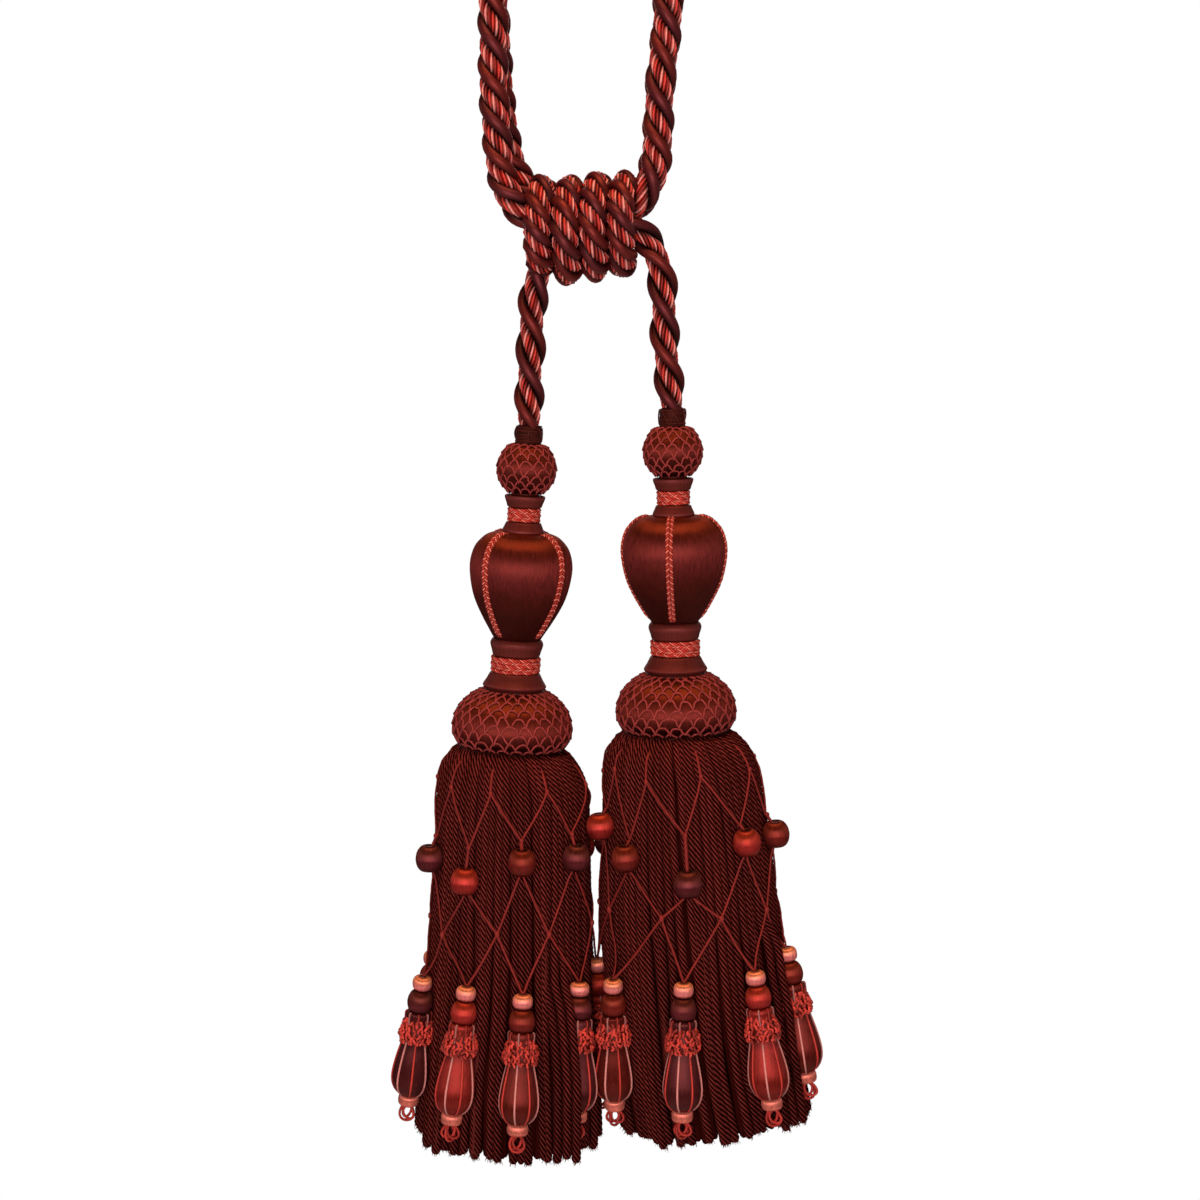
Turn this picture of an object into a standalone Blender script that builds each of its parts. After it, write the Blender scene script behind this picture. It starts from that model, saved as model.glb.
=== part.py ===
"""Curtain tieback with two beaded tassels, hanging from the top of its rope loop.

A doubled four-strand rope runs up from a wound knot and over in an arch. A tassel hangs on a
short length of the same rope from each end of the knot. Each tassel has a netted ball, a
collar, an urn with four gimp ribs, a foot, a netted cushion and a skirt of twisted cords with
nine small pendants.

Frame: metres, +Z up, +X to the viewer's right, the viewer stands on the -Y side. The origin is
on the underside of the rope arch, midway between its two ropes, where a hook bears.
"""

import math
from collections import namedtuple

import bmesh
import bpy
from mathutils import Vector

MM = 0.001
GAP = 0.3  # between pieces that touch in the real object

# Rope
ROPE_D = 12.0
ROPE_APART = 12.5  # between the centres of the front and the rear rope
ARCH_R = 34.0  # centreline of the arch

# Wound knot
TURN_PITCH = 10.6
TURN_R = 16.2  # from the knot's axis to the middle of the rope
KNOT_CENTRE = Vector((0.4, 0.0, -136.8))
KNOT_TILT = math.radians(8.0)  # its right end is the higher one
KNOT_HALF = 22.6

# Gimp ribs on the urn
RIB_W = 4.0
RIB_T = 1.0

# Pendants
PENDANT_L = 62.5
PENDANT_CLEAR = 1.7

Turned = namedtuple("Turned", "radius height")
Lean = namedtuple("Lean", "side top_x top_z lean_deg")
SkirtRow = namedtuple("SkirtRow", "down radius shift")
Pendant = namedtuple("Pendant", "angle_top angle_bottom down out colour")
RoutePoint = namedtuple("RoutePoint", "x y z")

COLOURS = {
    "rope": ((0.30, 0.075, 0.06, 1), 0.55),
    "satin": ((0.16, 0.030, 0.035, 1), 0.35),
    "collar": ((0.11, 0.030, 0.032, 1), 0.40),
    "gimp": ((0.62, 0.12, 0.09, 1), 0.60),
    "net": ((0.24, 0.040, 0.040, 1), 0.55),
    "cord": ((0.060, 0.012, 0.010, 1), 0.70),
    "plum": ((0.080, 0.022, 0.030, 1), 0.35),
    "coral": ((0.45, 0.045, 0.040, 1), 0.35),
    "maroon": ((0.15, 0.030, 0.028, 1), 0.35),
}

# Where each tassel's head and skirt hang. A positive lean takes the lower end to the right.
HEADS = (
    Lean("left", -28.4, -344.6, -3.4),
    Lean("right", 38.2, -337.9, 0.9),
)
SKIRTS = (
    Lean("left", -27.3, -344.9, -0.9),
    Lean("right", 38.3, -338.2, 6.1),
)
SKIRT_START = {"left": 1.5, "right": 2.6}
# shift moves a row's centre sideways from the straight axis: the right skirt bows.
SKIRT_ROWS = {
    "left": (
        SkirtRow(0.0, 20.5, 0.0),
        SkirtRow(3.0, 24.8, 0.0),
        SkirtRow(6.0, 27.4, 0.0),
        SkirtRow(11.0, 29.8, 0.0),
        SkirtRow(18.0, 31.0, 0.0),
        SkirtRow(46.0, 32.0, 0.0),
        SkirtRow(73.0, 33.0, 0.0),
        SkirtRow(104.0, 35.4, 0.0),
        SkirtRow(133.0, 37.6, 0.0),
        SkirtRow(159.0, 38.6, 0.0),
    ),
    "right": (
        SkirtRow(0.0, 20.5, 0.0),
        SkirtRow(3.0, 25.2, 0.0),
        SkirtRow(6.0, 28.4, 0.2),
        SkirtRow(11.0, 30.4, 0.2),
        SkirtRow(18.0, 31.8, 0.0),
        SkirtRow(46.0, 34.6, -1.2),
        SkirtRow(73.0, 36.4, -2.6),
        SkirtRow(104.0, 38.0, -2.9),
        SkirtRow(133.0, 38.8, -2.4),
        SkirtRow(159.0, 39.0, -0.4),
    ),
}

# Nine pendants round each skirt. Angle 0 faces the viewer and positive angles go to the right.
# down is how far below the cushion the upper end hangs, out is how far the axis stands proud.
PENDANTS = {
    "left": (
        Pendant(-64, -78, 89, 4.2, "plum"),
        Pendant(-25, -32, 88, 4.2, "coral"),
        Pendant(9, 6, 90, 4.2, "maroon"),
        Pendant(52, 44, 89, 1.4, "plum"),
        Pendant(110, 113, 90, 3.0, "coral"),
        Pendant(142, 144, 88, 4.2, "maroon"),
        Pendant(175, 175, 90, 4.2, "plum"),
        Pendant(208, 206, 89, 4.2, "coral"),
        Pendant(239, 237, 88, 4.2, "maroon"),
    ),
    "right": (
        Pendant(-49, -64, 90, 6.0, "maroon"),
        Pendant(-7, -19, 91, 4.2, "plum"),
        Pendant(34, 32, 91, 4.2, "coral"),
        Pendant(64, 64, 87, 4.2, "maroon"),
        Pendant(126, 125, 89, 4.2, "plum"),
        Pendant(158, 158, 91, 4.2, "coral"),
        Pendant(190, 191, 89, 4.2, "maroon"),
        Pendant(224, 224, 90, 4.2, "plum"),
        Pendant(270, 271, 88, 1.6, "coral"),
    ),
}

# Angles of the four ribs on each urn.
RIB_ANGLES = {"left": (-42, 53, 140, 228), "right": (-4, 85, 174, 266)}

# Turned outlines of one tassel head, from top to bottom.
OUTLINES = {
    "binding": (Turned(5.6, 128.6), Turned(5.9, 126.5), Turned(5.6, 124.3)),
    "ball": (
        Turned(5.4, 124.0),
        Turned(9.9, 120.7),
        Turned(12.1, 116.2),
        Turned(12.2, 111.0),
        Turned(10.3, 106.4),
        Turned(6.9, 103.0),
    ),
    "collar": (
        Turned(7.6, 102.6),
        Turned(7.9, 100.6),
        Turned(5.0, 98.8),
        Turned(5.0, 91.4),
        Turned(8.0, 89.9),
        Turned(8.3, 87.9),
    ),
    "urn": (
        Turned(11.6, 87.6),
        Turned(15.4, 85.6),
        Turned(18.9, 81.4),
        Turned(20.5, 75.6),
        Turned(20.1, 69.0),
        Turned(18.3, 61.6),
        Turned(14.9, 54.4),
        Turned(9.6, 45.5),
    ),
    "foot": (
        Turned(9.8, 45.2),
        Turned(10.6, 43.4),
        Turned(9.5, 41.4),
        Turned(9.3, 38.4),
        Turned(8.0, 38.2),
        Turned(8.0, 31.2),
        Turned(10.6, 30.9),
        Turned(12.6, 26.6),
        Turned(11.4, 24.9),
    ),
    "cushion": (
        Turned(12.4, 24.6),
        Turned(17.6, 21.8),
        Turned(22.4, 17.0),
        Turned(24.5, 10.6),
        Turned(23.9, 5.0),
        Turned(19.0, 0.2),
    ),
}
SIDES = {"binding": 10, "ball": 14, "collar": 12, "urn": 20, "foot": 14, "cushion": 20}
SLOT = {
    "binding": "rope",
    "ball": "net",
    "collar": "collar",
    "urn": "satin",
    "foot": "collar",
    "cushion": "net",
}
# Closed outlines of the gimp bands that sit in the grooves of the collar and the foot.
BANDS = {
    "collar_gimp": (Turned(5.4, 98.2), Turned(6.8, 97.6), Turned(6.8, 92.4), Turned(5.4, 91.8)),
    "foot_gimp": (Turned(8.4, 37.8), Turned(10.1, 37.2), Turned(10.1, 32.2), Turned(8.4, 31.6)),
}

# Turned outline of one pendant: small bead, large bead, looped collar, bulb, bead and loops.
PENDANT_OUTLINE = (
    Turned(2.6, 0.0),
    Turned(3.7, 3.4),
    Turned(5.1, 11.6),
    Turned(5.0, 18.6),
    Turned(6.9, 25.0),
    Turned(5.2, 30.0),
    Turned(8.3, 43.6),
    Turned(4.2, 53.0),
    Turned(3.9, 62.5),
)


def clear_scene():
    for obj in list(bpy.data.objects):
        bpy.data.objects.remove(obj, do_unlink=True)


def finish(name, slot):
    colour, rough = COLOURS[slot]
    material = bpy.data.materials.new(name + "_" + slot)
    material.use_nodes = True
    shader = material.node_tree.nodes["Principled BSDF"]
    shader.inputs["Base Color"].default_value = colour
    shader.inputs["Roughness"].default_value = rough
    shader.inputs["Metallic"].default_value = 0.0
    return material


def mesh_object(name, points, faces, slot):
    """One closed mesh from points in millimetres, with its faces turned outwards."""
    mesh = bpy.data.meshes.new(name)
    mesh.from_pydata([tuple(Vector(p) * MM) for p in points], [], faces)
    shape = bmesh.new()
    shape.from_mesh(mesh)
    bmesh.ops.recalc_face_normals(shape, faces=shape.faces)
    bmesh.ops.triangulate(shape, faces=shape.faces)
    shape.to_mesh(mesh)
    shape.free()
    mesh.shade_smooth()
    obj = bpy.data.objects.new(name, mesh)
    obj.data.materials.append(finish(name, slot))
    bpy.context.scene.collection.objects.link(obj)
    return obj


def rings_to_solid(rings, loop=False):
    """Joins rings of equal length into one solid, capped at its ends or joined in a loop."""
    count = len(rings[0])
    points = [p for ring in rings for p in ring]
    faces = []
    last = len(rings) if loop else len(rings) - 1
    for row in range(last):
        below = (row + 1) % len(rings)
        for i in range(count):
            j = (i + 1) % count
            faces.append((row * count + i, row * count + j, below * count + j, below * count + i))
    if not loop:
        faces.append(tuple(range(count)))
        faces.append(tuple((len(rings) - 1) * count + i for i in reversed(range(count))))
    return points, faces


class Axis:
    """A hanging axis: heights run up it, angle 0 faces the viewer."""

    def __init__(self, place):
        lean = math.radians(place.lean_deg)
        self.top = Vector((place.top_x, 0.0, place.top_z))
        self.up = Vector((-math.sin(lean), 0.0, math.cos(lean)))
        self.side = Vector((math.cos(lean), 0.0, math.sin(lean)))
        self.front = Vector((0.0, -1.0, 0.0))

    def out(self, angle):
        return self.side * math.sin(angle) + self.front * math.cos(angle)

    def at(self, radius, angle, height):
        return self.top + self.up * height + self.out(angle) * radius


def turned(name, axis, outline, sides, slot):
    rings = [
        [axis.at(row.radius, math.tau * i / sides, row.height) for i in range(sides)]
        for row in outline
    ]
    points, faces = rings_to_solid(rings)
    return mesh_object(name, points, faces, slot)


def band(name, axis, outline, sides, slot):
    rings = [
        [axis.at(row.radius, math.tau * i / sides, row.height) for i in range(sides)]
        for row in outline
    ]
    points, faces = rings_to_solid(rings, loop=True)
    return mesh_object(name, points, faces, slot)


def smooth_route(route, count):
    """count points, evenly apart, on a Catmull-Rom curve through the route's points."""
    ends = [route[0] * 2 - route[1]] + list(route) + [route[-1] * 2 - route[-2]]
    fine = []
    for k in range(1, len(ends) - 2):
        a, b, c, d = ends[k - 1 : k + 3]
        for step in range(12):
            t = step / 12
            fine.append(
                0.5
                * (
                    2 * b
                    + (c - a) * t
                    + (2 * a - 5 * b + 4 * c - d) * t * t
                    + (3 * b - a - 3 * c + d) * t * t * t
                )
            )
    fine.append(ends[-2])
    along = [0.0]
    for p, q in zip(fine, fine[1:]):
        along.append(along[-1] + (q - p).length)
    out, k = [], 0
    for i in range(count):
        want = along[-1] * i / (count - 1)
        while k < len(fine) - 2 and along[k + 1] < want:
            k += 1
        share = (want - along[k]) / (along[k + 1] - along[k])
        out.append(fine[k].lerp(fine[k + 1], share))
    return out


def rope(name, route, count):
    """A plain round tube along the route, with filled ends."""
    points = smooth_route([Vector(p) for p in route], count)
    curve = bpy.data.curves.new(name, "CURVE")
    curve.dimensions = "3D"
    curve.bevel_depth = ROPE_D / 2 * MM
    curve.bevel_resolution = 2
    curve.use_fill_caps = True
    spline = curve.splines.new("POLY")
    spline.points.add(len(points) - 1)
    for place, p in zip(spline.points, points):
        place.co = (*(p * MM), 1.0)
    obj = bpy.data.objects.new(name, curve)
    obj.data.materials.append(finish(name, "rope"))
    bpy.context.scene.collection.objects.link(obj)
    return obj


def arch_points(y):
    """The arch over the hook, from the left arm to the right arm."""
    centre_z = ROPE_D / 2 - ARCH_R
    return [
        RoutePoint(-ARCH_R * math.cos(a), y, centre_z + ARCH_R * math.sin(a))
        for a in (math.radians(d) for d in range(0, 181, 30))
    ]


def rope_loops():
    front, rear = -ROPE_APART / 2, ROPE_APART / 2
    left_front = [
        RoutePoint(-27.4, front, -128.0),
        RoutePoint(-30.0, front, -121.5),
        RoutePoint(-31.9, front, -113.0),
        RoutePoint(-33.0, front, -97.0),
        RoutePoint(-34.0, front, -80.8),
        RoutePoint(-33.9, front, -62.0),
        RoutePoint(-33.9, front, -45.0),
    ]
    right_front = [
        RoutePoint(33.9, front, -45.0),
        RoutePoint(33.1, front, -62.4),
        RoutePoint(31.0, front, -80.8),
        RoutePoint(29.9, front, -97.0),
        RoutePoint(28.9, front, -108.6),
        RoutePoint(27.2, front, -116.5),
        RoutePoint(25.6, front, -121.8),
    ]
    left_rear = [
        RoutePoint(-26.6, rear, -117.6),
        RoutePoint(-29.4, rear, -107.5),
        RoutePoint(-30.8, rear, -94.0),
        RoutePoint(-32.2, rear, -80.8),
        RoutePoint(-33.2, rear, -62.0),
        RoutePoint(-33.9, rear, -45.0),
    ]
    right_rear = [
        RoutePoint(33.9, rear, -45.0),
        RoutePoint(33.1, rear, -62.4),
        RoutePoint(31.2, rear, -80.8),
        RoutePoint(30.2, rear, -97.0),
        RoutePoint(29.2, rear, -108.6),
        RoutePoint(27.4, rear, -116.5),
        RoutePoint(26.0, rear, -121.8),
    ]
    rope("rope_loop_front", left_front + arch_points(front) + right_front, 30)
    rope("rope_loop_rear", left_rear + arch_points(rear) + right_rear, 30)


def wound_knot():
    """The closed form of four wound turns, with a bulge for each turn and drawn-in ends."""
    along = Vector((math.cos(KNOT_TILT), 0.0, math.sin(KNOT_TILT)))
    up = Vector((-math.sin(KNOT_TILT), 0.0, math.cos(KNOT_TILT)))
    front = Vector((0.0, -1.0, 0.0))
    sides, rows = 20, 17
    half_rope = ROPE_D / 2
    rings = []
    for j in range(rows):
        u = -KNOT_HALF + 2 * KNOT_HALF * j / (rows - 1)
        drawn_in = 1.0 - 0.60 * max(0.0, (abs(u) - 14.0) / (KNOT_HALF - 14.0)) ** 2.5
        ring = []
        for i in range(sides):
            turn = i / sides
            nearest = (u - 3.6) / TURN_PITCH + turn - 0.25
            off = (nearest - round(nearest)) * TURN_PITCH
            radius = TURN_R + math.sqrt(half_rope**2 - off**2)
            ring.append(
                KNOT_CENTRE
                + along * u
                + (up * math.cos(math.tau * turn) + front * math.sin(math.tau * turn))
                * radius
                * drawn_in
            )
        rings.append(ring)
    points, faces = rings_to_solid(rings)
    mesh_object("wound_knot", points, faces, "rope")


def rope_drops():
    left = [
        RoutePoint(-18.0, 0.0, -159.6),
        RoutePoint(-19.2, 0.0, -168.0),
        RoutePoint(-19.6, 0.0, -177.0),
        RoutePoint(-20.1, 0.0, -189.0),
        RoutePoint(-20.5, 0.0, -201.0),
        RoutePoint(-20.7, 0.0, -215.3),
    ]
    right = [
        RoutePoint(28.9, 0.0, -145.4),
        RoutePoint(30.9, 0.0, -149.2),
        RoutePoint(32.0, 0.0, -155.4),
        RoutePoint(32.7, 0.0, -166.0),
        RoutePoint(33.0, 0.0, -177.0),
        RoutePoint(34.0, 0.0, -189.0),
        RoutePoint(35.3, 0.0, -200.0),
        RoutePoint(36.2, 0.0, -208.5),
    ]
    rope("rope_drop_left", left, 7)
    rope("rope_drop_right", right, 8)


def rib(name, axis, angle):
    """A flat gimp rib that follows the urn's outline from its shoulder to its foot."""
    outline = [Vector((row.radius, row.height)) for row in OUTLINES["urn"]]
    outline[0] = outline[0].lerp(outline[1], 0.15)
    outline[-1] = outline[-1].lerp(outline[-2], 0.12)
    side = axis.out(angle + math.pi / 2)
    rings = []
    for k, here in enumerate(outline):
        before = outline[max(k - 1, 0)]
        after = outline[min(k + 1, len(outline) - 1)]
        run = (after - before).normalized()
        normal = Vector((-run.y, run.x))
        inner = here + normal * (GAP + 0.1)
        outer = inner + normal * RIB_T
        rings.append(
            [
                axis.at(inner.x, angle, inner.y) - side * (RIB_W / 2),
                axis.at(inner.x, angle, inner.y) + side * (RIB_W / 2),
                axis.at(outer.x, angle, outer.y) + side * (RIB_W / 2 - 0.5),
                axis.at(outer.x, angle, outer.y) - side * (RIB_W / 2 - 0.5),
            ]
        )
    points, faces = rings_to_solid(rings)
    mesh_object(name, points, faces, "gimp")


def skirt_row(side, down):
    """The radius and the sideways shift of a skirt at a depth below the cushion."""
    rows = SKIRT_ROWS[side]
    for upper, lower in zip(rows, rows[1:]):
        if down <= lower.down:
            share = (down - upper.down) / (lower.down - upper.down)
            return (
                upper.radius + share * (lower.radius - upper.radius),
                upper.shift + share * (lower.shift - upper.shift),
            )
    return rows[-1].radius, rows[-1].shift


def pendant_line(side, pendant):
    """The upper and lower end of a pendant's axis."""
    axis = Axis(SKIRTS[0] if side == "left" else SKIRTS[1])
    ends = []
    for angle, down in (
        (pendant.angle_top, pendant.down),
        (pendant.angle_bottom, pendant.down + PENDANT_L),
    ):
        radius, shift = skirt_row(side, down)
        place = axis.at(radius + pendant.out, math.radians(angle), -down)
        ends.append(place + axis.side * shift)
    return ends


def pendant_solid(name, side, pendant):
    top, bottom = pendant_line(side, pendant)
    down = (bottom - top).normalized()
    across = down.cross(Vector((0.0, 1.0, 0.0))).normalized()
    away = down.cross(across).normalized()
    sides = 8
    rings = [
        [
            top
            + down * row.height
            + (
                across * math.cos(math.tau * i / sides) + away * math.sin(math.tau * i / sides)
            )
            * row.radius
            for i in range(sides)
        ]
        for row in PENDANT_OUTLINE
    ]
    points, faces = rings_to_solid(rings)
    mesh_object(name, points, faces, pendant.colour)


def pendant_radius(down):
    for upper, lower in zip(PENDANT_OUTLINE, PENDANT_OUTLINE[1:]):
        if upper.height <= down <= lower.height:
            share = (down - upper.height) / (lower.height - upper.height)
            return upper.radius + share * (lower.radius - upper.radius)
    return None


def skirt(side):
    """The bell of hanging cords: gathered into soft flutes and parted round the pendants."""
    axis = Axis(SKIRTS[0] if side == "left" else SKIRTS[1])
    lines = [pendant_line(s, p) for s in PENDANTS for p in PENDANTS[s]]
    sides = 36
    downs = [SKIRT_START[side], 3.5, 6.5, 11.0, 18.0, 34.0, 60.0, 84.0]
    downs += [92.0, 101.0, 110.0, 118.0, 126.0, 134.0, 142.0, 150.0, 159.0]
    rings = []
    for down in downs:
        ring = []
        full, shift = skirt_row(side, down)
        centre = axis.top - axis.up * down + axis.side * shift
        for i in range(sides):
            angle = math.tau * i / sides
            flute = 0.5 * math.sin(8 * angle + 0.7) + 0.35 * math.sin(13 * angle + 2.1)
            radius = full + flute * min(1.0, down / 20.0)
            way = axis.out(angle)
            for top, bottom in lines:
                run = (bottom - top).normalized()
                # Depth along the pendant's axis at this height of the skirt.
                depth = (centre - top).dot(axis.up) / run.dot(axis.up)
                for extra in (-4.0, 0.0, 4.0):
                    wide = pendant_radius(min(max(depth + extra, 0.0), PENDANT_L))
                    if depth < -4.0 or depth > PENDANT_L + 4.0:
                        continue
                    wide += PENDANT_CLEAR
                    middle = top + run * depth - centre
                    near = middle.dot(way)
                    room = wide**2 - (middle.length_squared - near**2)
                    if near > 0 and room > 0:
                        radius = min(radius, near - math.sqrt(room))
            ring.append(centre + way * radius)
        rings.append(ring)
    points, faces = rings_to_solid(rings)
    mesh_object(side + "_skirt", points, faces, "cord")


def tassel(side):
    place = HEADS[0] if side == "left" else HEADS[1]
    axis = Axis(place)
    for name, outline in OUTLINES.items():
        turned(side + "_" + name, axis, outline, SIDES[name], SLOT[name])
    for name, outline in BANDS.items():
        band(side + "_" + name, axis, outline, 12, "gimp")
    for k, angle in enumerate(RIB_ANGLES[side]):
        rib(side + "_rib_%d" % (k + 1), axis, math.radians(angle))
    skirt(side)
    for k, pendant in enumerate(PENDANTS[side]):
        pendant_solid(side + "_pendant_%d" % (k + 1), side, pendant)


clear_scene()
rope_loops()
wound_knot()
rope_drops()
tassel("left")
tassel("right")
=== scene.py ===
"""Looks of the curtain tieback: twisted ropes, netted and satin-wound heads, corded skirts, beads.

Everything is measured in millimetres in the part's own frame and turned into metres when a mesh
is made. Angle 0 round a tassel faces the viewer and positive angles go to the viewer's right.
"""

import math
from collections import namedtuple

import bpy
import numpy as np
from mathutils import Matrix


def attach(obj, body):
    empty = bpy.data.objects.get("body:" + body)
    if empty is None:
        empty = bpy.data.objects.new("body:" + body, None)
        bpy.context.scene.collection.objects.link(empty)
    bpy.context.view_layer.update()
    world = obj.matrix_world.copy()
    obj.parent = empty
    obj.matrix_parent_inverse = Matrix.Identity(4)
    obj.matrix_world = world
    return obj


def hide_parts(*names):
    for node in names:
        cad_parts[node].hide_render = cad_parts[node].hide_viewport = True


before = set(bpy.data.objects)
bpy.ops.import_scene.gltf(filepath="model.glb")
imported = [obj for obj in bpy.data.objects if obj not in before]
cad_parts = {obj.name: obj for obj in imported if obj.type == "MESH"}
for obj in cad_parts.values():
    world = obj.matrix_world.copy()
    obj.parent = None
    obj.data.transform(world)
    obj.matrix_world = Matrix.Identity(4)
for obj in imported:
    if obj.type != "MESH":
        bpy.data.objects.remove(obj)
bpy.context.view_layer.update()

MM = 0.001
ROOT = "root"

# ---------------------------------------------------------------- sizes shared with the solids

ROPE_D = 12.0
ROPE_APART = 12.5
ARCH_R = 34.0
TURN_PITCH = 10.9
TURN_R = 16.2
KNOT_CENTRE = np.array((0.4, 0.0, -136.8))
KNOT_TILT = math.radians(8.0)
KNOT_HALF = 22.6
PENDANT_L = 62.5

Turned = namedtuple("Turned", "radius height")
Lean = namedtuple("Lean", "top_x top_z lean_deg")
SkirtRow = namedtuple("SkirtRow", "down radius shift")
Pendant = namedtuple("Pendant", "angle_top angle_bottom down out colour over")
Bead = namedtuple("Bead", "angle down colour neck")
Join = namedtuple("Join", "angle down")
Strand = namedtuple("Strand", "angle kind tint")
RopeForm = namedtuple("RopeForm", "dark_at dark_r light_at light_r lay")
Mark = namedtuple("Mark", "height half_turns")
KnotMark = namedtuple("KnotMark", "degrees half_turns")

HEADS = {"left": Lean(-28.4, -344.6, -3.4), "right": Lean(38.2, -337.9, 0.9)}
SKIRTS = {"left": Lean(-27.3, -344.9, -0.9), "right": Lean(38.3, -338.2, 6.1)}
SKIRT_ROWS = {
    "left": (
        SkirtRow(0.0, 20.5, 0.0),
        SkirtRow(3.0, 24.8, 0.0),
        SkirtRow(6.0, 27.4, 0.0),
        SkirtRow(11.0, 29.8, 0.0),
        SkirtRow(18.0, 31.0, 0.0),
        SkirtRow(46.0, 32.0, 0.0),
        SkirtRow(73.0, 33.0, 0.0),
        SkirtRow(104.0, 35.4, 0.0),
        SkirtRow(133.0, 37.6, 0.0),
        SkirtRow(159.0, 38.6, 0.0),
    ),
    "right": (
        SkirtRow(0.0, 20.5, 0.0),
        SkirtRow(3.0, 25.2, 0.0),
        SkirtRow(6.0, 28.4, 0.2),
        SkirtRow(11.0, 30.4, 0.2),
        SkirtRow(18.0, 31.8, 0.0),
        SkirtRow(46.0, 34.6, -1.2),
        SkirtRow(73.0, 36.4, -2.6),
        SkirtRow(104.0, 38.0, -2.9),
        SkirtRow(133.0, 38.8, -2.4),
        SkirtRow(159.0, 39.0, -0.4),
    ),
}
# over is 1 where some cords left of the pendant's axis fall in front of it, as COVERS says.
PENDANTS = {
    "left": (
        Pendant(-64, -78, 89, 4.2, "plum", 0),
        Pendant(-25, -32, 88, 4.2, "coral", 0),
        Pendant(9, 6, 90, 4.2, "maroon", 0),
        Pendant(52, 44, 89, 1.4, "plum", 1),
        Pendant(110, 113, 90, 3.0, "coral", 0),
        Pendant(142, 144, 88, 4.2, "maroon", 0),
        Pendant(175, 175, 90, 4.2, "plum", 0),
        Pendant(208, 206, 89, 4.2, "coral", 0),
        Pendant(239, 237, 88, 4.2, "maroon", 0),
    ),
    "right": (
        Pendant(-49, -64, 90, 6.0, "maroon", 0),
        Pendant(-7, -19, 91, 4.2, "plum", 0),
        Pendant(34, 32, 91, 4.2, "coral", 0),
        Pendant(64, 64, 87, 4.2, "maroon", 1),
        Pendant(126, 125, 89, 4.2, "plum", 0),
        Pendant(158, 158, 91, 4.2, "coral", 0),
        Pendant(190, 191, 89, 4.2, "maroon", 0),
        Pendant(224, 224, 90, 4.2, "plum", 0),
        Pendant(270, 271, 88, 1.6, "coral", 0),
    ),
}
# The ring of beads over the skirt, each above its pendant. neck is the doubled thread above it.
BEADS = {
    "left": (
        Bead(-68, 41.8, "plum", 3.5),
        Bead(-30, 47.0, "coral", 7.5),
        Bead(8, 38.2, "maroon", 2.5),
        Bead(48, 38.4, "plum", 3.5),
        Bead(128, 43.0, "coral", 3.0),
        Bead(155, 46.0, "maroon", 6.0),
        Bead(180, 39.0, "plum", 2.5),
        Bead(205, 45.5, "coral", 5.0),
        Bead(231, 41.0, "maroon", 3.0),
    ),
    "right": (
        Bead(-40.6, 42.2, "maroon", 1.0),
        Bead(-0.8, 53.0, "plum", 13.0),
        Bead(39.2, 40.8, "coral", 1.0),
        Bead(74, 42.6, "maroon", 2.5),
        Bead(130, 41.0, "plum", 3.0),
        Bead(165, 47.0, "coral", 6.0),
        Bead(200, 40.0, "maroon", 2.0),
        Bead(236, 45.0, "plum", 5.0),
        Bead(292.8, 31.4, "coral", 1.5),
    ),
}
# Where the threads of neighbouring beads meet, above them and below them. Row k lies between
# bead k and bead k + 1.
TOP_JOINS = {
    "left": (
        Join(-51, 12.2),
        Join(-14.4, 12.6),
        Join(29, 11.8),
        Join(79, 12.4),
        Join(127, 12.0),
        Join(159, 13.0),
        Join(193, 12.0),
        Join(226, 12.5),
        Join(266, 12.0),
    ),
    "right": (
        Join(-27, 13.4),
        Join(14, 12.8),
        Join(60, 14.6),
        Join(101, 13.0),
        Join(146, 12.5),
        Join(185, 13.5),
        Join(222, 12.5),
        Join(264, 13.0),
        Join(301.4, 10.0),
    ),
}
LOW_JOINS = {
    "left": (
        Join(-54, 71.6),
        Join(-8, 67.8),
        Join(28.6, 68.4),
        Join(80, 69.0),
        Join(127, 70.0),
        Join(159, 68.0),
        Join(193, 69.5),
        Join(226, 70.0),
        Join(266, 69.0),
    ),
    "right": (
        Join(-18.6, 66.6),
        Join(19.2, 69.2),
        Join(57, 71.0),
        Join(101, 70.0),
        Join(146, 68.5),
        Join(185, 69.0),
        Join(222, 68.0),
        Join(264, 66.0),
        Join(297.6, 65.0),
    ),
}
RIB_ANGLES = {"left": (-42, 53, 140, 228), "right": (-7, 85, 174, 266)}

BALL = (
    Turned(5.4, 124.0),
    Turned(8.2, 122.9),
    Turned(9.9, 120.7),
    Turned(12.1, 116.2),
    Turned(12.2, 111.0),
    Turned(10.3, 106.4),
    Turned(6.9, 103.0),
)
COLLAR = (
    Turned(5.0, 103.0),
    Turned(7.6, 102.8),
    Turned(8.1, 102.2),
    Turned(7.9, 101.2),
    Turned(7.3, 99.6),
    Turned(6.8, 98.2),
    Turned(5.6, 97.6),
    Turned(5.1, 95.0),
    Turned(5.5, 92.5),
    Turned(6.9, 91.9),
    Turned(7.6, 90.4),
    Turned(8.3, 88.9),
    Turned(8.3, 88.0),
)
URN = (
    Turned(9.0, 87.9),
    Turned(12.3, 87.4),
    Turned(15.5, 85.7),
    Turned(18.9, 81.6),
    Turned(20.5, 75.6),
    Turned(20.1, 69.0),
    Turned(18.3, 61.6),
    Turned(14.9, 54.4),
    Turned(9.6, 45.5),
)
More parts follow.
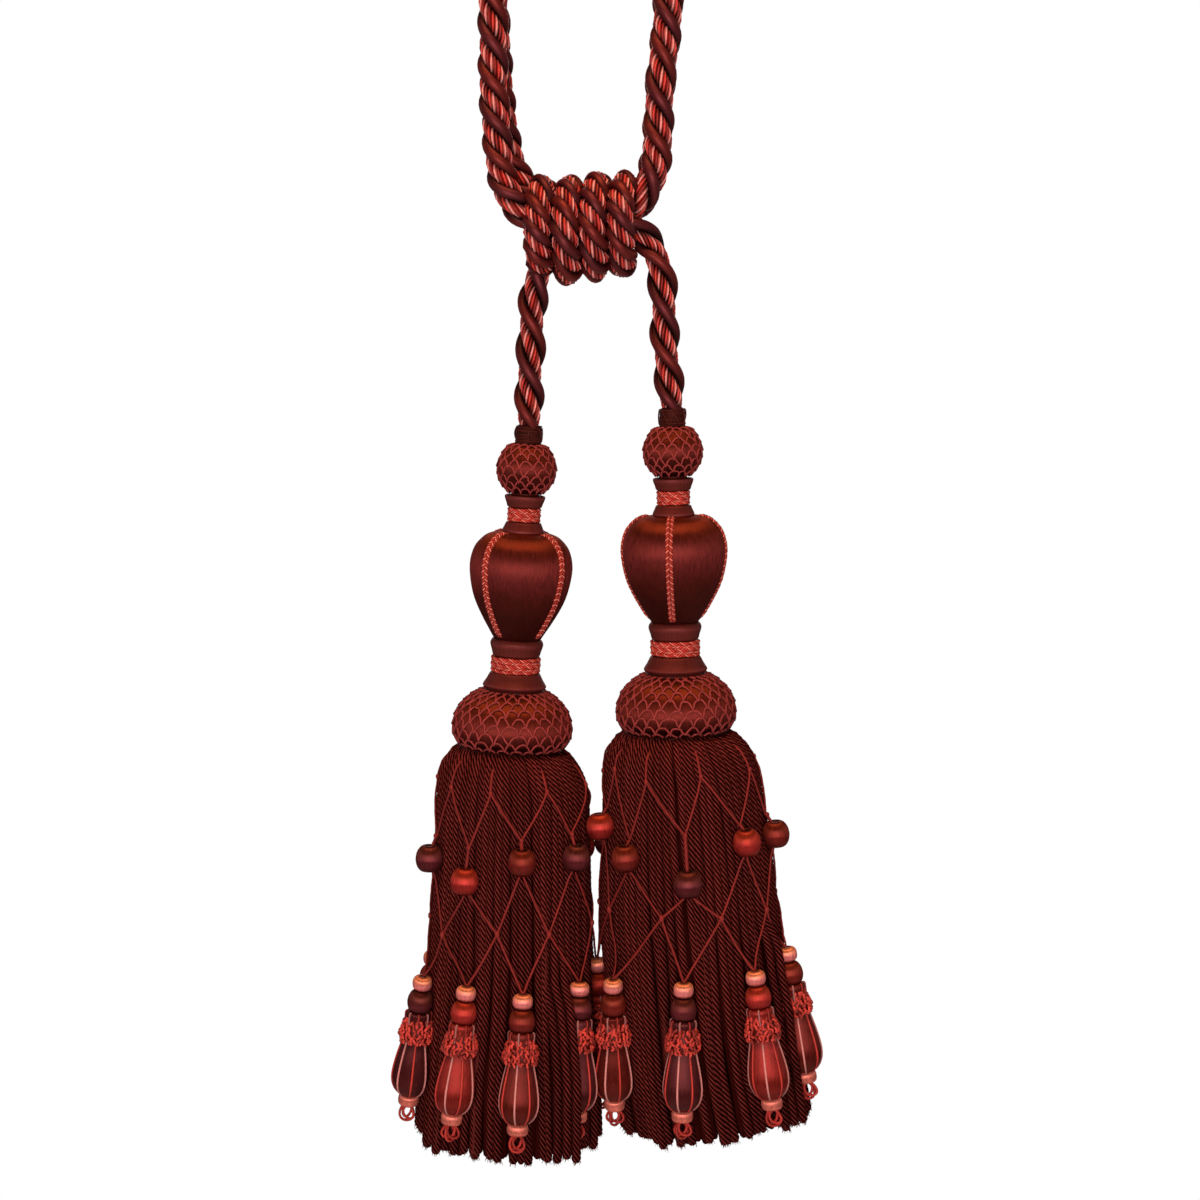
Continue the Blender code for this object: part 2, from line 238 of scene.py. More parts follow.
FOOT = (
    Turned(8.4, 45.4),
    Turned(9.9, 44.9),
    Turned(10.6, 43.5),
    Turned(10.5, 42.3),
    Turned(9.9, 40.4),
    Turned(9.4, 38.6),
    Turned(8.5, 37.9),
    Turned(8.3, 35.0),
    Turned(8.6, 32.0),
    Turned(9.9, 31.4),
    Turned(11.3, 28.8),
    Turned(12.6, 26.7),
    Turned(12.7, 26.0),
    Turned(11.8, 25.1),
    Turned(9.0, 24.9),
)
CUSHION = (
    Turned(10.4, 25.0),
    Turned(14.0, 24.3),
    Turned(17.9, 21.9),
    Turned(22.4, 17.0),
    Turned(24.5, 10.6),
    Turned(23.9, 5.0),
    Turned(21.2, 1.6),
    Turned(18.0, 0.2),
)

# ---------------------------------------------------------------- colours


def rgb(red, green, blue):
    """A display colour as linear light."""

    def lin(v):
        v = v / 255.0
        return v / 12.92 if v <= 0.04045 else ((v + 0.055) / 1.055) ** 2.4

    return np.array((lin(red), lin(green), lin(blue)))


PINK = rgb(246, 150, 142)
CORAL = rgb(214, 62, 52)
BRICK = rgb(150, 42, 36)
DARK_RED = rgb(102, 33, 30)
DARK_PLUM = rgb(88, 31, 34)
SATIN = {
    "plum": rgb(84, 27, 28),
    "coral": rgb(146, 36, 29),
    "maroon": rgb(106, 28, 20),
    "salmon": rgb(226, 117, 100),
    "urn": rgb(94, 28, 21),
    "collar": rgb(90, 29, 23),
    "mould": rgb(96, 28, 18),
}
NET = rgb(146, 54, 51)
THREAD = rgb(116, 34, 30)
GIMP = (rgb(228, 72, 58), rgb(244, 128, 112))
RUFF = rgb(198, 62, 52)
CORD = rgb(108, 41, 37)
WHIPPING = rgb(62, 20, 15)
SHADE = rgb(44, 8, 6)

STRANDS = (
    Strand(0, "dark", DARK_PLUM),
    Strand(90, "light", 0),
    Strand(180, "dark", DARK_RED),
    Strand(270, "light", 1),
)
FORMS = {
    "arm": RopeForm(3.85, 2.35, 2.75, 2.7, 32.0),
    "knot": RopeForm(3.7, 2.25, 2.75, 2.6, 24.0),
    "drop": RopeForm(4.0, 2.2, 2.15, 2.5, 38.0),
}
PLY_LAY = {"arm": 23.5, "knot": 26.0, "drop": 20.5}


# ---------------------------------------------------------------- vectors and curves


def unit(v):
    return v / np.maximum(np.linalg.norm(v, axis=-1, keepdims=True), 1e-12)


def dot(a, b):
    return (a * b).sum(-1, keepdims=True)


def arc(points):
    """Length along a line of points, from 0."""
    steps = np.linalg.norm(np.diff(points, axis=0), axis=1)
    return np.concatenate([[0.0], np.cumsum(steps)])


def frames(points, ref):
    """A direction along the line, one near ref, and one across both, at each point."""
    along = unit(np.gradient(points, axis=0))
    ref = np.broadcast_to(ref, points.shape)
    first = unit(ref - dot(ref, along) * along)
    return along, first, np.cross(along, first)


def resample(points, step):
    length = arc(points)
    count = max(2, int(round(length[-1] / step)) + 1)
    want = np.linspace(0, length[-1], count)
    return np.stack([np.interp(want, length, points[:, i]) for i in range(3)], 1)


def smooth_line(route, step):
    """Points about step apart on a Catmull-Rom curve through the route."""
    p = np.array(route, float)
    p = np.vstack([2 * p[0] - p[1], p, 2 * p[-1] - p[-2]])
    t = np.linspace(0, 1, 24, endpoint=False)[:, None]
    out = []
    for a, b, c, d in zip(p, p[1:], p[2:], p[3:]):
        out.append(
            0.5
            * (
                2 * b
                + (c - a) * t
                + (2 * a - 5 * b + 4 * c - d) * t**2
                + (3 * b - a - 3 * c + d) * t**3
            )
        )
    out.append(p[-2:-1])
    return resample(np.vstack(out), step)


def softened(values, width):
    """values averaged over a window of that many points, with the ends kept."""
    window = np.hanning(width + 2)[1:-1]
    window /= window.sum()
    padded = np.concatenate(
        [np.full(width, values[0]), values, np.full(width, values[-1])]
    )
    return np.convolve(padded, window, "same")[width:-width]


# ---------------------------------------------------------------- meshes


class Shape:
    """A mesh in the making. Each point has a tint, a place among its fibres, the way across its
    fibres, along which its shine spreads, and where it is in a twist of yarns: the cosine and
    sine of its angle in the cord, which turns with the cord, and the number of yarns."""

    def __init__(self):
        self.points, self.tints, self.fibres, self.spreads, self.yarns = [], [], [], [], []
        self.quads, self.tris = [], []
        self.count = 0

    def add(self, points, tint, fibre, spread, quads=None, tris=None, yarn=(1.0, 0.0, 0.0)):
        n = len(points)
        self.points.append(np.asarray(points, float))
        self.tints.append(np.broadcast_to(tint, (n, 3)))
        self.fibres.append(np.broadcast_to(fibre, (n, 3)))
        self.spreads.append(np.broadcast_to(spread, (n, 3)))
        self.yarns.append(np.broadcast_to(yarn, (n, 3)))
        if quads is not None and len(quads):
            self.quads.append(np.asarray(quads) + self.count)
        if tris is not None and len(tris):
            self.tris.append(np.asarray(tris) + self.count)
        self.count += n

    def triangles(self):
        return 2 * sum(map(len, self.quads)) + sum(map(len, self.tris))

    def make(self, name, material, *nodes, slot=None, cord=None):
        points = np.concatenate(self.points) * MM
        quads = np.concatenate(self.quads) if self.quads else np.empty((0, 4), int)
        tris = np.concatenate(self.tris) if self.tris else np.empty((0, 3), int)
        mesh = bpy.data.meshes.new(name)
        mesh.vertices.add(len(points))
        mesh.vertices.foreach_set("co", points.astype(np.float32).ravel())
        corners = np.concatenate([quads.ravel(), tris.ravel()]).astype(np.int32)
        mesh.loops.add(len(corners))
        mesh.loops.foreach_set("vertex_index", corners)
        sizes = np.concatenate([np.full(len(quads), 4), np.full(len(tris), 3)])
        starts = np.concatenate([[0], np.cumsum(sizes)[:-1]]).astype(np.int32)
        mesh.polygons.add(len(sizes))
        mesh.polygons.foreach_set("loop_start", starts)
        mesh.update(calc_edges=True)
        mesh.validate()
        mesh.shade_smooth()
        tints = np.concatenate(self.tints)
        tints = np.concatenate([tints, np.ones((len(tints), 1))], 1)
        layer = mesh.attributes.new("tint", "FLOAT_COLOR", "POINT")
        layer.data.foreach_set("color", tints.astype(np.float32).ravel())
        for label, rows in (
            ("fibre", self.fibres),
            ("spread", self.spreads),
            ("yarn", self.yarns),
        ):
            layer = mesh.attributes.new(label, "FLOAT_VECTOR", "POINT")
            layer.data.foreach_set("vector", np.concatenate(rows).astype(np.float32).ravel())
        mesh.materials.append(material)
        piece = bpy.data.objects.new(name, mesh)
        bpy.context.scene.collection.objects.link(piece)
        if nodes:
            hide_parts(*nodes)
        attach(piece, ROOT)
        TRIANGLES[name] = self.triangles()
        return piece


TRIANGLES = {}


def grid_quads(rows, columns, closed_rows=False):
    """Quads between rings of equal length, each ring closed."""
    index = np.arange(rows * columns).reshape(rows, columns)
    after = np.roll(index, -1, axis=1)
    if closed_rows:
        low, low_after = np.roll(index, -1, axis=0), np.roll(after, -1, axis=0)
        return np.stack([index, after, low_after, low], -1).reshape(-1, 4)
    return np.stack([index[:-1], after[:-1], after[1:], index[1:]], -1).reshape(-1, 4)


def sweep(
    shape, path, first, second, section, tint, seed=0.0, grain=0.12, closed=False, shine=None, ends=True, yarns=0
):
    """A tube along path. section holds offsets along first and second, for all or each point.
    With yarns, its points are those of a twist of so many yarns, with one on its first point."""
    path = np.asarray(path, float)
    n = len(path)
    section = np.broadcast_to(section, (n,) + section.shape[-2:])
    m = section.shape[1]
    points = (
        path[:, None]
        + section[..., :1] * first[:, None]
        + section[..., 1:] * second[:, None]
    )
    tint = np.broadcast_to(tint, (n, m, 3))
    turn = math.tau * np.arange(m) / m
    size = float(np.abs(section).max())
    length = arc(path)
    fibre = np.empty((n, m, 3))
    fibre[..., 0] = size * np.cos(turn) + seed * 3.1
    fibre[..., 1] = size * np.sin(turn) + seed * 7.7
    fibre[..., 2] = (length * grain)[:, None] + seed * 5.3
    yarn = np.broadcast_to(
        np.stack([np.cos(turn), np.sin(turn), np.full(m, float(yarns))], 1), (n, m, 3)
    )
    if shine is None:
        spread = unit(np.roll(points, -1, 1) - np.roll(points, 1, 1))
    else:
        spread = np.broadcast_to(shine, (n, m, 3))
    flat = lambda a: a.reshape(-1, 3)
    quads = grid_quads(n, m, closed)
    shape.add(flat(points), flat(tint), flat(fibre), flat(spread), quads, yarn=flat(yarn))
    if closed or not ends:
        return
    for row, order in ((0, -1), (n - 1, 1)):
        ring = points[row]
        centre = ring.mean(0)
        k = np.arange(m)
        fan = np.stack([np.zeros(m, int), 1 + k, 1 + (k + 1) % m], -1)
        if order < 0:
            fan = fan[:, ::-1]
        shape.add(
            np.vstack([centre, ring]),
            np.vstack([tint[row].mean(0), tint[row]]),
            np.vstack([fibre[row].mean(0), fibre[row]]),
            np.vstack([spread[row][0], spread[row]]),
            tris=fan,
        )


def circle(radius, sides):
    a = math.tau * np.arange(sides) / sides
    return np.stack([np.cos(a), np.sin(a)], 1) * radius


def turned_section(profile, rotation):
    """profile is [(angle, radius)...] of one section; rotation turns it at each point."""
    a = rotation[:, None] + profile[None, :, 0]
    return np.stack([np.cos(a), np.sin(a)], -1) * profile[None, :, 1:]


def twist_profile(radius, yarns, per_yarn, depth):
    """The outline of a twist of yarns, as angle and radius, with a yarn's crest first."""
    k = np.arange(yarns * per_yarn)
    angle = math.tau * k / len(k)
    crest = np.abs(np.cos(yarns * angle / 2))
    return np.stack([angle, radius * (1 - depth * (1 - crest))], 1)


class Axis:
    """A hanging axis: heights run up it."""

    def __init__(self, place):
        lean = math.radians(place.lean_deg)
        self.top = np.array((place.top_x, 0.0, place.top_z))
        self.up = np.array((-math.sin(lean), 0.0, math.cos(lean)))
        self.side = np.array((math.cos(lean), 0.0, math.sin(lean)))
        self.front = np.array((0.0, -1.0, 0.0))

    def out(self, angle):
        angle = np.asarray(angle)[..., None]
        return self.side * np.sin(angle) + self.front * np.cos(angle)

    def round(self, angle):
        angle = np.asarray(angle)[..., None]
        return self.side * np.cos(angle) - self.front * np.sin(angle)

    def at(self, radius, angle, height):
        radius, height = np.asarray(radius)[..., None], np.asarray(height)[..., None]
        return self.top + self.up * height + self.out(angle) * radius


def fine_outline(outline, parts, inset=0.0):
    """The turned outline as a smooth curve, with parts steps between rows."""
    p = np.array([(r.radius, r.height) for r in outline], float)
    p = np.vstack([2 * p[0] - p[1], p, 2 * p[-1] - p[-2]])
    t = np.linspace(0, 1, parts, endpoint=False)[:, None]
    rows = [
        0.5
        * (2 * b + (c - a) * t + (2 * a - 5 * b + 4 * c - d) * t**2 + (3 * b - a - 3 * c + d) * t**3)
        for a, b, c, d in zip(p, p[1:], p[2:], p[3:])
    ]
    line = np.vstack(rows + [p[-2:-1]])
    run = unit(np.gradient(line, axis=0))
    normal = np.stack([-run[:, 1], run[:, 0]], 1)
    return line + normal * -inset, normal


def lathe(shape, top, up, out_of, line, sides, tint, seed=0.0, wound="up", wobble=0.0):
    """Turns the (radius, height) line round an axis. wound says which way its threads run."""
    a = math.tau * np.arange(sides) / sides
    radius, height = line[:, 0][:, None], line[:, 1][:, None]
    radius = radius * (1 + wobble * np.sin(3 * a + seed) + 0.6 * wobble * np.sin(7 * a + 2 * seed))
    way = out_of(a)
    points = top + up * height[..., None] + way[None] * radius[..., None]
    n, m = points.shape[:2]
    biggest = float(radius.max())
    fibre = np.empty((n, m, 3))
    if wound == "up":
        fibre[..., 0] = biggest * np.cos(a) + seed * 3.1
        fibre[..., 1] = biggest * np.sin(a) + seed * 7.7
        fibre[..., 2] = height * 0.14 + seed
        spread = unit(np.roll(points, -1, 1) - np.roll(points, 1, 1))
    else:
        fibre[..., 0] = biggest * np.cos(a) * 0.06 + seed * 3.1
        fibre[..., 1] = biggest * np.sin(a) * 0.06 + seed * 7.7
        fibre[..., 2] = height + seed
        spread = unit(np.gradient(points, axis=0))
    tint = np.broadcast_to(tint, (n, m, 3))
    flat = lambda v: v.reshape(-1, 3)
    # Rows run down and angles run to the right, so the faces are turned outwards here.
    quads = grid_quads(n, m)[:, ::-1]
    shape.add(flat(points), flat(tint), flat(fibre), flat(spread), quads)
    for row, order in ((0, 1), (n - 1, -1)):
        k = np.arange(m)
        fan = np.stack([np.zeros(m, int), 1 + k, 1 + (k + 1) % m], -1)
        if order < 0:
            fan = fan[:, ::-1]
        shape.add(
            np.vstack([points[row].mean(0), points[row]]),
            tint[row][0],
            np.vstack([fibre[row].mean(0), fibre[row]]),
            np.vstack([spread[row][0], spread[row]]),
            tris=fan,
        )


# ---------------------------------------------------------------- materials


def thread_material(
    name,
    rough=0.45,
    level=0.3,
    gloss_tint=(1.0, 0.62, 0.62),
    shine=0.0,
    sheen=0.0,
    streak=2.0,
    streak_depth=0.05,
    colour_change=0.2,
    yarn_depth=0.0,
    groove_shade=0.5,
    crests=(0.20, 0.80),
    silk=0.0,
):
    """Dyed thread. Its colour comes from the tint of each point, its filaments from a noise that
    is stretched along the fibres, its yarns from where each point is in the twist, and its shine
    spreads across the fibres. Grooves between yarns are painted darker as painted shade, as well as
    being deeper in shape."""
    material = bpy.data.materials.new(name)
    material.use_nodes = True
    tree = material.node_tree
    nodes, links = tree.nodes, tree.links
    shader = nodes["Principled BSDF"]

    def attribute(label, output):
        node = nodes.new("ShaderNodeAttribute")
        node.attribute_name = label
        return node.outputs[output]

    def maths(operation, *inputs):
        node = nodes.new("ShaderNodeMath")
        node.operation = operation
        for socket, value in zip(node.inputs, inputs):
            if isinstance(value, (int, float)):
                socket.default_value = value
            else:
                links.new(value, socket)
        return node.outputs["Value"]

    def mapped(value, low, high, to_low, to_high):
        node = nodes.new("ShaderNodeMapRange")
        links.new(value, node.inputs["Value"])
        for label, number in zip(("From Min", "From Max", "To Min", "To Max"), (low, high, to_low, to_high)):
            node.inputs[label].default_value = number
        return node.outputs["Result"]

    def noise(vector, scale, detail):
        node = nodes.new("ShaderNodeTexNoise")
        node.inputs["Scale"].default_value = scale
        node.inputs["Detail"].default_value = detail
        node.inputs["Roughness"].default_value = 0.62
        links.new(vector, node.inputs["Vector"])
        return node.outputs["Fac"]

    def vector(operation, *inputs):
        node = nodes.new("ShaderNodeVectorMath")
        node.operation = operation
        for socket, value in zip(node.inputs, inputs):
            links.new(value, socket)
        return node

    filament = noise(attribute("fibre", "Vector"), streak, 4.0)
    patch = noise(nodes.new("ShaderNodeTexCoord").outputs["Object"], 150.0, 2.0)
    parts = nodes.new("ShaderNodeSeparateXYZ")
    links.new(attribute("yarn", "Vector"), parts.inputs[0])
    angle = maths("ARCTAN2", parts.outputs[1], parts.outputs[0])
    crest = maths("ABSOLUTE", maths("COSINE", maths("MULTIPLY", maths("MULTIPLY", angle, parts.outputs[2]), 0.5)))

    change = maths(
        "MULTIPLY",
        mapped(filament, 0.30, 0.70, 1.0 - colour_change, 1.0 + colour_change),
        mapped(patch, 0.25, 0.75, 0.88, 1.10),
    )
    scaled = vector("SCALE", attribute("tint", "Color"))
    links.new(change, scaled.inputs["Scale"])
    colour = scaled.outputs["Vector"]
    open_face = mapped(crest, crests[0], crests[1], 1.0 - groove_shade, 1.0)
    bright = vector("SCALE", colour)
    links.new(open_face, bright.inputs["Scale"])
    deep = vector("SCALE", vector("MULTIPLY", colour, colour).outputs["Vector"])
    links.new(mapped(open_face, 0.0, 1.0, 0.55, 0.0), deep.inputs["Scale"])
    whole = vector("ADD", bright.outputs["Vector"], deep.outputs["Vector"])
    links.new(whole.outputs["Vector"], shader.inputs["Base Color"])
    links.new(mapped(filament, 0.3, 0.7, rough - 0.06, rough + 0.08), shader.inputs["Roughness"])

    height = maths(
        "ADD", maths("MULTIPLY", crest, yarn_depth), maths("MULTIPLY", filament, streak_depth)
    )
    bump = nodes.new("ShaderNodeBump")
    bump.inputs["Strength"].default_value = 1.0
    bump.inputs["Distance"].default_value = MM
    links.new(height, bump.inputs["Height"])
    links.new(bump.outputs["Normal"], shader.inputs["Normal"])
    if shine:
        links.new(attribute("spread", "Vector"), shader.inputs["Tangent"])

    shader.inputs["Specular IOR Level"].default_value = level
    shader.inputs["Specular Tint"].default_value = (*gloss_tint, 1.0)
    # Silk gives back light in its own colour, as a metal does.
    shader.inputs["Metallic"].default_value = silk
    shader.inputs["Anisotropic"].default_value = shine
    shader.inputs["Sheen Weight"].default_value = sheen
    shader.inputs["Sheen Roughness"].default_value = 0.5
    return material


RED_GLOSS = (1.0, 0.42, 0.40)
MATERIALS = {
    "rope_satin": thread_material(
        "rope_satin", 0.44, 0.35, RED_GLOSS, streak=3.2, streak_depth=0.07, colour_change=0.24, silk=0.5
    ),
    "rope_cable": thread_material(
        "rope_cable", 0.48, 0.28, (1.0, 0.62, 0.58), streak=3.0, streak_depth=0.06, colour_change=0.12, yarn_depth=0.55, groove_shade=0.95, crests=(0.34, 0.93)
    ),
    "satin": thread_material(
        "satin", 0.54, 0.5, RED_GLOSS, shine=0.85, streak=2.1, streak_depth=0.07, colour_change=0.40, silk=0.70
    ),
    "dark_satin": thread_material(
        "dark_satin", 0.50, 0.5, RED_GLOSS, shine=0.6, streak=1.8, streak_depth=0.05, colour_change=0.16, silk=0.3
    ),
    "gimp": thread_material(
        "gimp", 0.46, 0.30, (1.0, 0.6, 0.56), streak=4.0, streak_depth=0.05, colour_change=0.12, yarn_depth=0.30, groove_shade=0.92, crests=(0.36, 0.92)
    ),
    "net": thread_material(
        "net", 0.55, 0.2, RED_GLOSS, streak=4.0, streak_depth=0.08, colour_change=0.16, yarn_depth=0.2, groove_shade=0.6
    ),
    "cord": thread_material(
        "cord", 0.46, 0.0, (1.0, 0.36, 0.32), streak=2.6, streak_depth=0.06, colour_change=0.14, yarn_depth=0.5, groove_shade=0.97, crests=(0.50, 1.0), silk=0.30
    ),
    "fuzz": thread_material("fuzz", 0.7, 0.0, streak=5.0, streak_depth=0.02, colour_change=0.25),
    "bead": thread_material(
        "bead", 0.44, 0.5, RED_GLOSS, shine=0.90, streak=1.9, streak_depth=0.06, colour_change=0.34, silk=0.55
    ),
}

# ---------------------------------------------------------------- camera, light and ground

CAMERA_AT = (7.5, -1040.0, -164.0)
PITCH_DEG = 6.582
LENS_MM = 78.51


def camera():
    data = bpy.data.cameras.new("camera")
    data.lens = LENS_MM
    data.sensor_width = 36.0
    data.clip_start, data.clip_end = 0.01, 50.0
    eye = bpy.data.objects.new("camera", data)
    eye.location = [v * MM for v in CAMERA_AT]
    eye.rotation_euler = (math.radians(90 - PITCH_DEG), 0, 0)
    bpy.context.scene.collection.objects.link(eye)
    bpy.context.scene.camera = eye


def lamp(name, at, towards, width, height, power, colour):
    data = bpy.data.lights.new(name, "AREA")
    data.shape = "RECTANGLE"
    data.size, data.size_y = width, height
    data.energy = power
    data.color = colour
    light = bpy.data.objects.new(name, data)
    from mathutils import Vector

    light.location = at
    light.rotation_euler = (Vector(towards) - Vector(at)).to_track_quat("-Z", "Y").to_euler()
    light.visible_camera = False
    bpy.context.scene.collection.objects.link(light)


def studio():
    scene = bpy.context.scene
    scene.view_settings.view_transform = "Standard"
    world = bpy.data.worlds.new("studio")
    scene.world = world
    world.use_nodes = True
    nodes, links = world.node_tree.nodes, world.node_tree.links
    background = nodes["Background"]
    background.inputs["Color"].default_value = (1.0, 1.0, 1.0, 1)
    path = nodes.new("ShaderNodeLightPath")
    strength = nodes.new("ShaderNodeMapRange")
    strength.inputs["To Min"].default_value = 0.085
    strength.inputs["To Max"].default_value = 1.0
    links.new(path.outputs["Is Camera Ray"], strength.inputs["Value"])
    links.new(strength.outputs["Result"], background.inputs["Strength"])

    middle = (0.0, 0.0, -0.27)
    lamp("front", (-0.10, -1.5, -0.24), middle, 1.2, 0.75, 21.5, (1.0, 0.96, 0.94))
    lamp("top", (0.0, -0.28, 0.70), middle, 0.7, 0.5, 9.0, (1.0, 0.60, 0.30))
    lamp("left", (-1.3, 0.5, -0.1), middle, 0.5, 1.0, 1.15, (1.0, 0.96, 0.95))
    lamp("right", (1.3, 0.5, -0.1), middle, 0.5, 1.0, 1.15, (1.0, 0.96, 0.95))
    lamp("behind", (0.0, 1.7, 0.1), middle, 1.5, 1.3, 13.0, (1.0, 0.97, 0.95))

    ground = bpy.data.meshes.new("ground")
    ring = [(1.7 * math.cos(a), 1.7 * math.sin(a), -1.2) for a in np.linspace(0, math.tau, 96, endpoint=False)]
    ground.from_pydata(ring, [], [tuple(range(96))])
    floor = bpy.data.objects.new("ground", ground)
    scene.collection.objects.link(floor)
    paint = bpy.data.materials.new("ground")
    paint.use_nodes = True
    tree = paint.node_tree
    shader = tree.nodes["Principled BSDF"]
    grain = tree.nodes.new("ShaderNodeTexNoise")
    grain.inputs["Scale"].default_value = 40.0
    shade = tree.nodes.new("ShaderNodeMapRange")
    shade.inputs["To Min"].default_value = 0.90
    shade.inputs["To Max"].default_value = 0.93
    tree.links.new(grain.outputs["Fac"], shade.inputs["Value"])
    tree.links.new(shade.outputs["Result"], shader.inputs["Base Color"])
    shader.inputs["Roughness"].default_value = 0.9
    ground.materials.append(paint)


# ---------------------------------------------------------------- ropes


YARNS = 8
COLOURS = (PINK, CORAL, BRICK)


def painted_strand_shade(facing, least, reach):
    """Painted shade on a strand: how open a point of it is, where facing is the cosine of its angle from straight out.
    """
    return least + (1 - least) * np.clip((facing + reach) / (0.9 + reach), 0, 1)


def triangle_wave(angle):
    return np.arcsin(np.sin(angle)) * 2 / math.pi


def strands(dark, light, path, ref, turn, form_name, seed, order=-1, slim=None):
    """Four strands round the rope's centreline: two smooth dark ones and two cables of eight
    yarns in three colours, whose order is 1 or -1. turn is the place of the first dark strand,
    as an angle from ref, at each point, and slim narrows the rope there."""
    form = FORMS[form_name]
    _, first, second = frames(path, ref)
    slim = np.ones(len(path)) if slim is None else slim
    flat = form_name == "knot"
    for number, strand in enumerate(STRANDS):
        a = (turn + math.radians(strand.angle))[:, None]
        out = np.cos(a) * first + np.sin(a) * second
        lie = out
        if flat:
            # Pulled tight round the knot, the strands cross its front in straighter lines.
            aside = 0.12 * np.sin(a) + 0.88 * triangle_wave(a)
            lie = 0.97 * np.cos(a) * first + 1.06 * aside * second
        if strand.kind == "dark":
            line = path + lie * (form.dark_at * slim)[:, None]
            _, n, b = frames(line, out)
            # The dark strand is painted in shade on the sides that turn in from straight out.
            facing = np.cos(math.tau * np.arange(14) / 14)
            tint = strand.tint * painted_strand_shade(facing, 0.05, -0.12)[:, None]
            section = circle(form.dark_r, 14)[None] * slim[:, None, None]
            sweep(dark, line, n, b, section, tint[None], seed + number, 0.05)
            continue
        line = path + lie * (form.light_at * slim)[:, None]
        _, n, b = frames(line, out)
        profile = twist_profile(form.light_r, YARNS, 4, 0.15)
        # The strand itself turns the other way, as its place round the rope does.
        spin = math.tau * arc(line) / PLY_LAY[form_name] - turn + seed + strand.tint * 2.2
        section = turned_section(profile, spin) * slim[:, None, None]
        k = np.arange(len(profile))
        ply = np.array([COLOURS[order * int(v) % 3] for v in np.round(k / 4)])
        # The cable's yarns are painted in shade where they turn in from straight out.
        tints = ply[None] * painted_strand_shade(np.cos(spin[:, None] + profile[None, :, 0]), 0.03, -0.20)[..., None]
        sweep(light, line, n, b, section, tints, seed + number, 0.10, yarns=YARNS)


def arch_points(y):
    centre_z = ROPE_D / 2 - ARCH_R
    return [
        (-ARCH_R * math.cos(a), y, centre_z + ARCH_R * math.sin(a))
        for a in (math.radians(d) for d in range(0, 181, 30))
    ]


def turns_by_height(path, left_marks, right_marks, lay):
    """Rope turn along the path, from the heights where known half turns face the viewer."""
    length = arc(path)
    rows = []
    middle = len(path) // 2
    for marks, part in ((left_marks, slice(0, middle)), (right_marks, slice(middle, None))):
        for mark in marks:
            near = np.abs(path[part, 2] - mark.height).argmin() + (part.start or 0)
            rows.append((length[near], -math.pi * mark.half_turns))
    rows.sort()
    at, turn = np.array(rows).T
    slope = -math.tau / lay
    at = np.concatenate([[at[0] - 200], at, [at[-1] + 200]])
    turn = np.concatenate([[turn[0] - 200 * slope], turn, [turn[-1] + 200 * slope]])
    return softened(np.interp(length, at, turn), 11)


STEP = 1.25

LOOPS = {
    "front": (
        -ROPE_APART / 2,
        [(-12.0, 2.0, -135.5), (-19.0, -2.0, -133.0)],
        [
            (-24.5, 0, -129.2),
            (-28.0, 0, -124.2),
            (-30.4, 0, -118.0),
            (-31.9, 0, -109.0),
            (-33.0, 0, -97.0),
            (-34.0, 0, -80.8),
            (-33.9, 0, -62.0),
            (-33.9, 0, -45.0),
        ],
        [
            (33.9, 0, -45.0),
            (33.1, 0, -62.4),
            (31.0, 0, -80.8),
            (30.4, 0, -97.0),
            (29.9, 0, -108.6),
            (27.6, 0, -118.5),
        ],
        [(22.5, -3.5, -126.5), (17.0, 0.5, -131.0), (9.0, 4.0, -134.0)],
    ),
    "rear": (
        ROPE_APART / 2,
        [(-10.0, 5.0, -131.0), (-19.0, 5.5, -124.5)],
        [
            (-25.4, 0, -115.6),
            (-28.6, 0, -106.5),
            (-30.8, 0, -94.0),
            (-32.2, 0, -80.8),
            (-33.2, 0, -62.0),
            (-33.9, 0, -45.0),
        ],
        [
            (33.9, 0, -45.0),
            (33.1, 0, -62.4),
            (31.2, 0, -80.8),
            (30.2, 0, -97.0),
            (29.2, 0, -108.6),
            (27.4, 0, -116.5),
            (25.2, 0, -123.0),
        ],
        [(20.0, 6.0, -129.0), (10.0, 5.0, -133.0)],
    ),
}
LEFT_MARKS = (Mark(-123.5, 0), Mark(-110.8, 1), Mark(-96.3, 2), Mark(-81.4, 3), Mark(-66.2, 4))
RIGHT_MARKS = (
    Mark(-56.4, 14),
    Mark(-69.7, 15),
    Mark(-87.9, 16),
    Mark(-103.5, 17),
    Mark(-117.0, 18),
)


def loop_ropes():
    for which, (y, before, left, right, after) in LOOPS.items():
        route = (
            before
            + [(x, y, z) for x, _, z in left]
            + arch_points(y)[1:-1]
            + [(x, y, z) for x, _, z in right]
            + after
        )
        path = smooth_line(route, STEP)
        turn = turns_by_height(path, LEFT_MARKS, RIGHT_MARKS, FORMS["arm"].lay)
        if which == "rear":
            turn = turn + 0.25
        dark, light = Shape(), Shape()
        strands(dark, light, path, np.array((0.0, -1.0, 0.0)), turn, "arm", 1.0 + 9 * (which == "rear"))
        piece = join_rope("rope_%s_strands" % which, dark, light, "rope_loop_" + which)


def join_rope(name, dark, light, node):
    """One mesh with the dark strands in the first material and the cables in the second."""
    both = Shape()
    for part in (dark, light):
        start = both.count
        both.points += part.points
        both.tints += part.tints
        both.fibres += part.fibres
        both.spreads += part.spreads
        both.yarns += part.yarns
        both.quads += [q + start for q in part.quads]
        both.tris += [t + start for t in part.tris]
        both.count += part.count
    piece = both.make(name, MATERIALS["rope_satin"], node, slot="rope")
    piece.data.materials.append(MATERIALS["rope_cable"])
    quads = np.concatenate([np.full(sum(map(len, p.quads)), k) for k, p in enumerate((dark, light))])
    tris = np.concatenate([np.full(sum(map(len, p.tris)), k) for k, p in enumerate((dark, light))])
    piece.data.polygons.foreach_set("material_index", np.concatenate([quads, tris]).astype(np.int32))
    return piece


